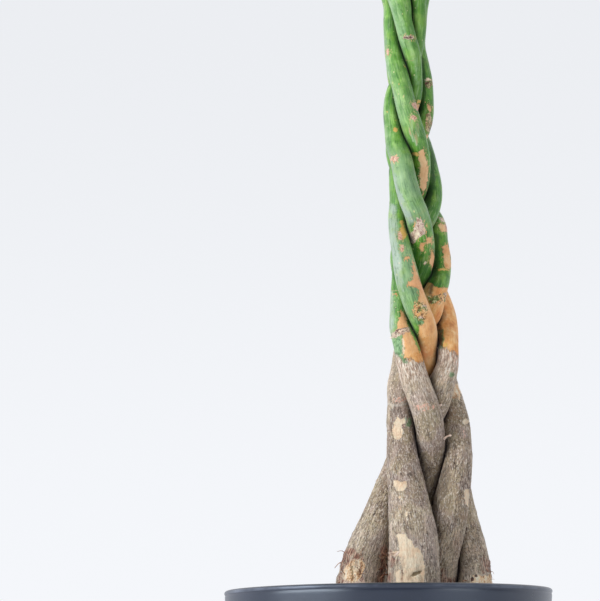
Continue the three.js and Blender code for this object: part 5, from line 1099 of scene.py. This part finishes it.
def stem_surface(name, px, py, out=0.0):
    """Point on the front of a stem that the photograph shows at px, py."""
    f = FINE[name]
    x, z = photo_to_mm(px, py)
    for _ in range(4):
        cx, cy, r = (float(np.interp(z, f[:, 0], f[:, k])) for k in (1, 2, 3))
        s = max(-0.98, min(0.98, (x - cx) / r))
        y = cy - (r + out) * math.sqrt(1 - s * s)
        ex, ez = mm_to_photo(x, y, z)
        x += (px - ex) * 1.07
        z -= (py - ez) * 1.07
    return np.array([x, y, z])


def rootlets():
    rng = np.random.default_rng(41)
    paths, radii = [], []

    def hair(start, direction, length, r, wander=0.5, n=9):
        p, d = np.array(start, float), unit(np.array(direction, float))
        pts = [p.copy()]
        for _ in range(n - 1):
            d = unit(d + rng.normal(0, wander, 3) * 0.35 + np.array([0, 0, -0.06]))
            p = p + d * length / (n - 1)
            pts.append(p.copy())
        paths.append(pts)
        radii.append(r * np.linspace(1.0, 0.45, n))

    # the fibrous side of the left stem's foot, and the seam between the two left stems
    for _ in range(34):
        q = stem_surface("A", rng.uniform(342, 364), rng.uniform(552, 581))
        hair(q + [0, 0.6, 0], (rng.normal(-0.3, 0.5), -0.5 * rng.random(), rng.normal(-0.4, 0.9)), rng.uniform(4, 11), rng.uniform(0.22, 0.5))
    for _ in range(40):
        x, z = photo_to_mm(rng.uniform(379, 391), rng.uniform(549, 583))
        y = rng.uniform(-24, 2)
        hair((x, y, z), (rng.normal(0, 0.6), rng.normal(-0.2, 0.4), rng.normal(-0.5, 0.8)), rng.uniform(6, 17), rng.uniform(0.3, 0.7))
    for _ in range(26):
        q = stem_surface("D", rng.uniform(478, 492), rng.uniform(555, 582))
        hair(q + [0, 0.6, 0], (rng.normal(0.3, 0.5), -0.5 * rng.random(), rng.normal(-0.4, 0.9)), rng.uniform(4, 9), rng.uniform(0.22, 0.45))
    # the same all round the foot of the trunk
    for name in STEMS:
        for _ in range(46):
            f = FINE[name]
            z = rng.uniform(306, 340)
            cx, cy, r = (float(np.interp(z, f[:, 0], f[:, k])) for k in (1, 2, 3))
            a = rng.uniform(0, 2 * math.pi)
            d = np.array([math.cos(a), math.sin(a), 0])
            hair(np.array([cx, cy, z]) + d * (r - 0.4), d * rng.uniform(0.4, 1.2) + np.array([0, 0, rng.uniform(-1.6, 0.2)]), rng.uniform(8, 26), rng.uniform(0.35, 0.95))
    # a single hair that stands out from the left foot
    q = stem_surface("A", 343.5, 562)
    far = photo_to_mm(334.6, 568.6)
    paths.append([q + (np.array([far[0], q[1] - 3, far[1]]) - q) * t + np.array([0, 0, 2.0 * math.sin(3.1 * t)]) for t in np.linspace(0, 1, 9)])
    radii.append(np.linspace(0.7, 0.3, 9))
    return threads("root_fibres", paths, radii)


def twig_stubs():
    paths, radii = [], []
    q = stem_surface("E", 443.6, 439.0, -1.0)
    e = photo_to_mm(449.6, 437.8)
    e = np.array([e[0], q[1] - 5.0, e[1]])
    paths.append([q + (e - q) * t + np.array([0, 0, 0.7 * math.sin(4 * t)]) for t in np.linspace(0, 1, 9)])
    radii.append([1.7, 1.4, 1.15, 1.05, 1.0, 0.95, 1.0, 1.15, 0.8])
    q = stem_surface("B", 394.5, 556.4, -1.5)
    e = photo_to_mm(399.6, 553.4)
    e = np.array([e[0], q[1] - 5.0, e[1]])
    paths.append([q + (e - q) * t for t in np.linspace(0, 1, 7)])
    radii.append([1.2, 1.9, 2.2, 2.2, 2.0, 1.5, 0.6])
    q = stem_surface("B", 394.0, 553.6, 0.2)
    e = photo_to_mm(386.6, 556.2)
    e = np.array([e[0], q[1] - 2.0, e[1]])
    paths.append([q + (e - q) * t for t in np.linspace(0, 1, 7)])
    radii.append([1.0, 0.95, 0.9, 0.85, 0.8, 0.7, 0.5])
    rng = np.random.default_rng(8)
    for name in STEMS:
        for _ in range(3):
            f = FINE[name]
            z = rng.uniform(360, 900)
            cx, cy, r = (float(np.interp(z, f[:, 0], f[:, k])) for k in (1, 2, 3))
            a = rng.uniform(0.2, math.pi - 0.2)
            d = np.array([math.cos(a), math.sin(a), 0.35])
            if any(math.hypot(cx + d[0] * (r + 4) - float(np.interp(z, g[:, 0], g[:, 1])), cy + d[1] * (r + 4) - float(np.interp(z, g[:, 0], g[:, 2]))) < float(np.interp(z, g[:, 0], g[:, 3])) + 2 for k, g in FINE.items() if k != name):
                continue
            p0 = np.array([cx, cy, z]) + d * (r - 2.5)
            paths.append([p0 + d * t * rng.uniform(4.5, 7.5) for t in np.linspace(0, 1, 7)])
            radii.append([2.6, 2.0, 1.6, 1.4, 1.35, 1.3, 1.1])
    return threads("twig_stubs", paths, radii, 10)


def fibre_material(name, dark, mid, light):
    N = Nodes(name)
    c = N.n("ShaderNodeTexCoord").outputs["Object"]
    a = N.noise(c, 260.0, 3.0, 0.65)
    col = N.ramp(a, [(0.34, dark), (0.5, mid), (0.66, light)])
    tip = N.step(N.attr("along"), 0.55, 1.0)
    col = N.mix(N.math("MULTIPLY", tip, 0.35), col, light)
    N.set(Base_Color=col, Roughness=N.range(a, 0.3, 0.7, 0.9, 0.7))
    N.set(Normal=N.bump(N.noise(c, 1600.0, 2.0, 0.6), 0.5, 0.0004))
    return N.mat


# ---------------------------------------------------------------------------
# Leaves
# ---------------------------------------------------------------------------
UPV = np.array([0.0, 0.0, 1.0])


def leaf_piece(index, spec):
    (stem, root, az, stalk, rise, reach, nod, roll, count, length, width, lift, droop, fold) = spec
    rng = np.random.default_rng(900 + index)
    rad = math.radians
    H = np.array([math.cos(rad(az)), math.sin(rad(az)), 0.0])

    def slope(e):
        return H * math.cos(rad(e)) + UPV * math.sin(rad(e))

    foot = np.array(root, float)
    bend = foot + slope(rise) * stalk * 0.52
    hub = bend + slope(reach) * stalk * 0.5
    forward = slope(reach - nod)
    level = np.array([-math.sin(rad(az)), math.cos(rad(az)), 0.0])
    across = level * math.cos(rad(roll)) + np.cross(forward, level) * math.sin(rad(roll))
    normal = unit(np.cross(forward, across))
    V, F, T, A, S = [], [], [], [], []      # vertices, faces, (along, across, kind), length share, side

    def add_grid(pts, coords, shade, closed_v, start_cap, end_cap):
        """pts: rows x columns x 3, wound round the section."""
        base = sum(len(v) for v in V)
        n, m = pts.shape[:2]
        V.append(pts.reshape(-1, 3))
        T.append(coords.reshape(-1, 3))
        i, k = np.meshgrid(np.arange(n - 1), np.arange(m), indexing="ij")
        k1 = (k + 1) % m
        q = np.stack([i * m + k, i * m + k1, (i + 1) * m + k1, (i + 1) * m + k], -1).reshape(-1, 4) + base
        F.append(q)
        ends = []
        for row, flip in ((0, True), (n - 1, False)):
            cidx = sum(len(v) for v in V)
            V.append(pts[row].mean(0)[None])
            T.append(coords[row].mean(0)[None])
            kk = np.arange(m)
            kk1 = (kk + 1) % m
            tri = np.stack([np.full(m, cidx), base + row * m + kk, base + row * m + kk1], -1)
            if flip:
                tri = tri[:, [0, 2, 1]]
            ends.append(tri)
        TR.extend(ends)

    TR = []
    # stalk, with a swelling at each end
    t = np.linspace(-0.045, 1.0, 34)
    path = np.array([foot * (1 - s) ** 2 + bend * 2 * s * (1 - s) + hub * s * s if s >= 0 else foot + slope(rise) * s * stalk for s in t])
    tg = unit(np.gradient(path, axis=0))
    sd = unit(np.cross(UPV[None], tg * np.array([1, 1, 0.0])))
    upn = np.cross(tg, sd)
    k = 12
    ang = np.arange(k) / k * 2 * math.pi
    rr = 1.55 + 1.25 * np.exp(-((t + 0.01) / 0.05) ** 2) + 1.15 * np.exp(-((t - 1.0) / 0.045) ** 2) + 0.12 * np.sin(t * 40 + index)
    sec = path[:, None] + rr[:, None, None] * (np.cos(ang)[None, :, None] * sd[:, None] + np.sin(ang)[None, :, None] * upn[:, None])
    add_grid(sec[:, ::-1], np.stack(np.broadcast_arrays(t[:, None], np.cos(ang)[None, ::-1], np.full((1, k), 2.0)), -1), 0, True, True, True)
    # hub
    hv = np.array([[math.cos(b) * math.cos(a), math.sin(b) * math.cos(a), math.sin(a) * 0.75] for a in np.linspace(-1.45, 1.45, 7) for b in np.arange(12) / 12 * 2 * math.pi]).reshape(7, 12, 3)
    hubpts = hub + 3.3 * (hv[..., :1] * forward + hv[..., 1:2] * across + hv[..., 2:] * normal)
    add_grid(hubpts, np.stack(np.broadcast_arrays(np.full((7, 12), 1.0), hv[..., 0], np.full((7, 12), 2.0)), -1), 0, True, True, True)

    for angle in FANS[count]:
        kf = (abs(angle) / 134.0) ** 1.4
        ln, wd = length * (1 - 0.34 * kf), width * (1 - 0.28 * kf)
        d = forward * math.cos(rad(angle)) + across * math.sin(rad(angle))
        head = unit(np.array([d[0], d[1], 0.0]))
        side = np.cross(UPV, head)
        start = math.degrees(math.asin(max(-1, min(1, d[2])))) + lift
        end = min(start - 18, -droop)
        rows = 36
        tt = np.linspace(0, 1, rows)
        ts = (tt[1:] + tt[:-1]) / 2
        e = np.radians(start + (end - start) * ts ** 1.15)
        steps = (head[None] * np.cos(e)[:, None] + UPV[None] * np.sin(e)[:, None]) * ln / (rows - 1)
        mid = np.vstack([hub, hub + np.cumsum(steps, 0)])
        ee = np.radians(start + (end - start) * tt ** 1.15)
        along = head[None] * np.cos(ee)[:, None] + UPV[None] * np.sin(ee)[:, None]
        up = np.cross(along, side[None])
        # outline: a short stalk, widest past the middle, drawn out into a tip
        w = np.where(tt < 0.05, 0.07, 0.0) + np.where(tt >= 0.05, (np.clip((tt - 0.05) / 0.95, 0, 1) ** 0.82 * (1 - np.clip((tt - 0.05) / 0.95, 0, 1)) ** 0.78) * 2.02, 0)
        tip = smooth(0.86, 1.0, tt)
        w = np.maximum(w * (1 - 0.55 * tip), 0.055 * (1 - tt ** 6))
        w = w * wd
        w[-1] = 0.12
        cols = 11
        c = np.linspace(-1, 1, cols)
        ph = rng.uniform(0, 6.28)
        f = rad(fold)
        cc, tg2 = np.meshgrid(c, tt)
        prof = np.abs(cc) ** 0.9
        wave = np.sin(tt * 17.0 + ph)[:, None] * np.abs(cc) ** 3 * 1.5 + np.sin(tt * 31.0 + 2 * ph)[:, None] * np.abs(cc) ** 4 * 0.7
        veins = 0.2 * np.cos((tg2 - 0.16 * np.abs(cc) ** 1.3) * 2 * math.pi * 13.0) * np.minimum(1, np.abs(cc) * 3) * (1 - np.abs(cc) ** 6)
        lift_mm = prof * w[:, None] * math.sin(f) + (wave + veins) * (w[:, None] / max(wd, 1e-6))
        mid_dip = -0.35 * np.exp(-(cc / 0.09) ** 2)
        top = mid[:, None] + side[None, None] * (cc * w[:, None] * math.cos(f))[..., None] + up[:, None] * (lift_mm + mid_dip)[..., None]
        thick = (0.34 + 0.65 * np.exp(-(cc / 0.1) ** 2) * (1 - 0.6 * tg2)) * (1 - 0.6 * np.abs(cc) ** 4)
        bot = top - up[:, None] * (2.0 * thick)[..., None] * 0.62
        ring = np.concatenate([top[:, ::-1], bot], axis=1)
        coords = np.concatenate([np.stack([tg2[:, ::-1], cc[:, ::-1], np.zeros_like(cc)], -1), np.stack([tg2, cc, np.ones_like(cc)], -1)], axis=1)
        add_grid(ring, coords, 0, True, True, True)

    verts = np.vstack(V)
    quads = np.vstack(F)
    tris = np.vstack(TR)
    o = new_object(f"foliage_{index:02d}", verts, [quads, tris])
    put(o, "blade", np.vstack(T))
    put(o, "rank", np.full(len(verts), rng.random()))
    return o


def leaf_material():
    N = Nodes("money_tree_leaf")
    b = N.n("ShaderNodeSeparateXYZ")
    N.link(N.attr("blade", True), b.inputs[0])
    t, u, kind = b.outputs
    rank = N.attr("rank")
    c = N.n("ShaderNodeTexCoord").outputs["Object"]
    au = N.math("ABSOLUTE", u)
    cloud = N.noise(c, 26.0, 3.0, 0.55)
    g = N.ramp(N.math("ADD", N.math("MULTIPLY", cloud, 0.7), N.math("MULTIPLY", rank, 0.3)),
               [(0.3, lin(38, 84, 26)), (0.5, lin(56, 112, 36)), (0.72, lin(86, 142, 52)), (0.9, lin(118, 168, 66))])
    # veins: a pale midrib, side veins that bend towards the tip, and a fine net between them
    bent = N.math("SUBTRACT", t, N.math("MULTIPLY", N.math("POWER", au, 1.3), 0.16))
    wob = N.math("MULTIPLY", N.math("SUBTRACT", N.noise(c, 60.0, 2.0), 0.5), 0.012)
    saw = N.math("ABSOLUTE", N.math("SUBTRACT", N.math("FRACT", N.math("MULTIPLY", N.math("ADD", bent, wob), 13.0)), 0.5))
    vein = N.math("MULTIPLY", N.step(saw, 0.44, 0.495), N.math("SUBTRACT", 1.0, N.step(au, 0.7, 1.0)))
    rib = N.math("SUBTRACT", 1.0, N.step(au, 0.028, 0.075))
    net = N.math("SUBTRACT", 1.0, N.step(N.voronoi(c, 420.0, "DISTANCE_TO_EDGE"), 0.0, 0.12))
    g = N.mix(N.math("MULTIPLY", net, 0.14), g, lin(120, 160, 76))
    g = N.mix(N.math("MULTIPLY", N.step(saw, 0.36, 0.46), 0.2), g, lin(40, 84, 28))
    g = N.mix(N.math("MULTIPLY", vein, 0.55), g, lin(148, 184, 96))
    g = N.mix(N.math("MULTIPLY", rib, 0.85), g, lin(176, 204, 118))
    rim = N.step(au, 0.93, 1.0)
    g = N.mix(N.math("MULTIPLY", rim, 0.45), g, lin(150, 170, 84))
    spot = N.math("MULTIPLY", N.step(N.noise(c, 120.0, 3.0, 0.6), 0.7, 0.76), 0.35)
    g = N.mix(spot, g, lin(160, 150, 70))
    tipdry = N.math("MULTIPLY", N.step(N.math("ADD", t, N.math("MULTIPLY", cloud, 0.08)), 1.0, 1.045), 0.8)
    g = N.mix(tipdry, g, lin(150, 116, 66))
    under = N.step(kind, 0.4, 0.6)
    stalk = N.step(kind, 1.4, 1.6)
    pale = N.mix(0.42, g, lin(138, 170, 108))
    col = N.mix(under, g, pale)
    st = N.mix(N.noise(c, 90.0, 3.0), lin(96, 132, 54), lin(132, 160, 76))
    st = N.mix(N.math("MULTIPLY", N.step(t, 0.9, 1.0), 0.5), st, lin(128, 118, 62))
    col = N.mix(stalk, col, st)
    N.set(Base_Color=col)
    N.set(Roughness=N.fmix(under, N.range(cloud, 0.3, 0.7, 0.4, 0.5), 0.6))
    h = N.math("SUBTRACT", N.math("MULTIPLY", saw, -0.6), N.math("MULTIPLY", rib, 0.5))
    h = N.math("ADD", h, N.math("MULTIPLY", N.noise(c, 300.0, 2.0), 0.12))
    N.set(Normal=N.bump(h, 0.3, 0.0006))
    N.bsdf.inputs["Subsurface Weight"].default_value = 0.0
    N.bsdf.inputs["Specular IOR Level"].default_value = 0.2
    return N.mat


# ---------------------------------------------------------------------------
# Scene
# ---------------------------------------------------------------------------
def finish_piece(o, mat, slot, *nodes):
    o.data.materials.append(mat)
    if nodes:
        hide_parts(*nodes)
    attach(o, "root")


bark = bark_material()
for number, name in enumerate(STEMS):
    finish_piece(stem_mesh(name, 11 + 7 * number), bark, "stem_bark", f"stem_{name}")

finish_piece(pot_piece(), pot_material(), "pot", "pot")
finish_piece(soil_piece(), soil_material("potting_soil", lin(30, 22, 17), lin(54, 41, 32), lin(86, 68, 52), 190.0), "soil", "soil")
finish_piece(pebbles("soil_crumbs", 1350, 5, (0.9, 2.6), (0.6, 1.0)), soil_material("soil_crumb", lin(36, 26, 20), lin(64, 48, 36), lin(98, 78, 60), 320.0), "soil", "soil")
finish_piece(pebbles("bark_chips", 190, 6, (2.6, 6.5), (0.35, 0.8)), soil_material("bark_chip", lin(70, 46, 30), lin(112, 78, 52), lin(150, 112, 78), 260.0), "soil", "soil")

finish_piece(rootlets(), fibre_material("root_fibre", lin(84, 50, 38), lin(146, 98, 74), lin(206, 166, 134)), "stem_bark")
finish_piece(twig_stubs(), fibre_material("twig_wood", lin(184, 146, 122), lin(226, 198, 176), lin(244, 228, 214)), "stem_bark")

leaf_mat = leaf_material()
for number, spec in enumerate(LEAVES):
    finish_piece(leaf_piece(number + 1, spec), leaf_mat, "leaf", f"leaf_{number + 1:02d}")


def stage_objects():
    floor = Nodes("studio_floor")
    fc = floor.n("ShaderNodeTexCoord").outputs["Object"]
    floor.set(Base_Color=floor.mix(floor.noise(fc, 3.0, 2.0), lin(230, 231, 235), lin(236, 237, 241)), Roughness=0.75)
    # far from the plant the floor runs into the wall, as a studio sweep does
    away = floor.n("ShaderNodeVectorMath", operation="LENGTH")
    floor.link(fc, away.inputs[0])
    glow = floor.n("ShaderNodeEmission")
    glow.inputs[0].default_value = lin(245, 247, 251)
    both = floor.n("ShaderNodeMixShader")
    floor.link(floor.step(away.outputs["Value"], 1.0, 5.5), both.inputs[0])
    floor.link(floor.bsdf.outputs[0], both.inputs[1])
    floor.link(glow.outputs[0], both.inputs[2])
    floor.link(both.outputs[0], floor.out.inputs[0])
    f = new_object("studio_floor", np.array([[-30000, -30000, -0.5], [30000, -30000, -0.5], [30000, 30000, -0.5], [-30000, 30000, -0.5]], float), np.array([[0, 1, 2, 3]]))
    f.data.materials.append(floor.mat)
    world = bpy.data.worlds.new("studio")
    world.use_nodes = True
    t = world.node_tree
    t.nodes.clear()
    out = t.nodes.new("ShaderNodeOutputWorld")
    coord = t.nodes.new("ShaderNodeTexCoord")
    xyz = t.nodes.new("ShaderNodeSeparateXYZ")
    t.links.new(coord.outputs["Generated"], xyz.inputs[0])

    def ranged(value, lo, hi, a, b):
        node = t.nodes.new("ShaderNodeMapRange")
        node.interpolation_type = "SMOOTHSTEP"
        node.inputs["From Min"].default_value, node.inputs["From Max"].default_value = lo, hi
        node.inputs["To Min"].default_value, node.inputs["To Max"].default_value = a, b
        t.links.new(value, node.inputs["Value"])
        return node.outputs[0]

    def add(a, b):
        node = t.nodes.new("ShaderNodeMath")
        node.operation = "ADD"
        t.links.new(a, node.inputs[0])
        t.links.new(b, node.inputs[1])
        return node.outputs[0]

    # what the camera sees: a nearly even pale wall, a touch darker upwards
    tint = t.nodes.new("ShaderNodeMix")
    tint.data_type = "RGBA"
    t.links.new(ranged(xyz.outputs["Z"], 0.03, 0.26, 0.0, 1.0), tint.inputs[0])
    tint.inputs[6].default_value, tint.inputs[7].default_value = lin(245, 247, 251), lin(236, 238, 242)
    seen = t.nodes.new("ShaderNodeBackground")
    t.links.new(tint.outputs[2], seen.inputs[0])
    # what lights the plant all round: the bright wall behind it, a dimmer room in front and soft light from above
    light = add(ranged(xyz.outputs["Y"], -0.35, 0.45, WORLD_FRONT, WORLD_BACK), ranged(xyz.outputs["Z"], 0.35, 0.95, 0.0, WORLD_TOP))
    lit = t.nodes.new("ShaderNodeBackground")
    lit.inputs[0].default_value = lin(243, 245, 251)
    t.links.new(light, lit.inputs[1])
    path = t.nodes.new("ShaderNodeLightPath")
    both = t.nodes.new("ShaderNodeMixShader")
    t.links.new(path.outputs["Is Camera Ray"], both.inputs[0])
    t.links.new(lit.outputs[0], both.inputs[1])
    t.links.new(seen.outputs[0], both.inputs[2])
    t.links.new(both.outputs[0], out.inputs[0])
    bpy.context.scene.world = world


def softbox(name, direction, angle, strength, color):
    L = bpy.data.lights.new(name, "SUN")
    L.angle, L.energy, L.color = math.radians(angle), strength, color
    o = bpy.data.objects.new(name, L)
    o.location = Vector(direction) * 3.0
    o.rotation_mode = "QUATERNION"
    o.rotation_quaternion = Vector(direction).to_track_quat("Z", "Y")
    bpy.context.scene.collection.objects.link(o)


stage_objects()
softbox("window", *WINDOW)
softbox("second", *SECOND)

cam = bpy.data.cameras.new("camera")
cam.sensor_fit = "HORIZONTAL"
cam.sensor_width = 36.0
cam.lens = CAM_FOCAL_PX / 600.0 * 36.0
cam.clip_start, cam.clip_end = 0.05, 60.0
cam_o = bpy.data.objects.new("camera", cam)
bpy.context.scene.collection.objects.link(cam_o)
cam_o.matrix_world = (Matrix.Translation(Vector((CAM_X, -CAM_DIST, CAM_Z)) / 1000.0)
                      @ Matrix.Rotation(math.pi / 2 + CAM_PITCH, 4, "X") @ Matrix.Rotation(-CAM_ROLL, 4, "Z"))
bpy.context.scene.camera = cam_o
bpy.context.scene.view_settings.view_transform = "Standard"
bpy.context.scene.view_settings.look = "None"
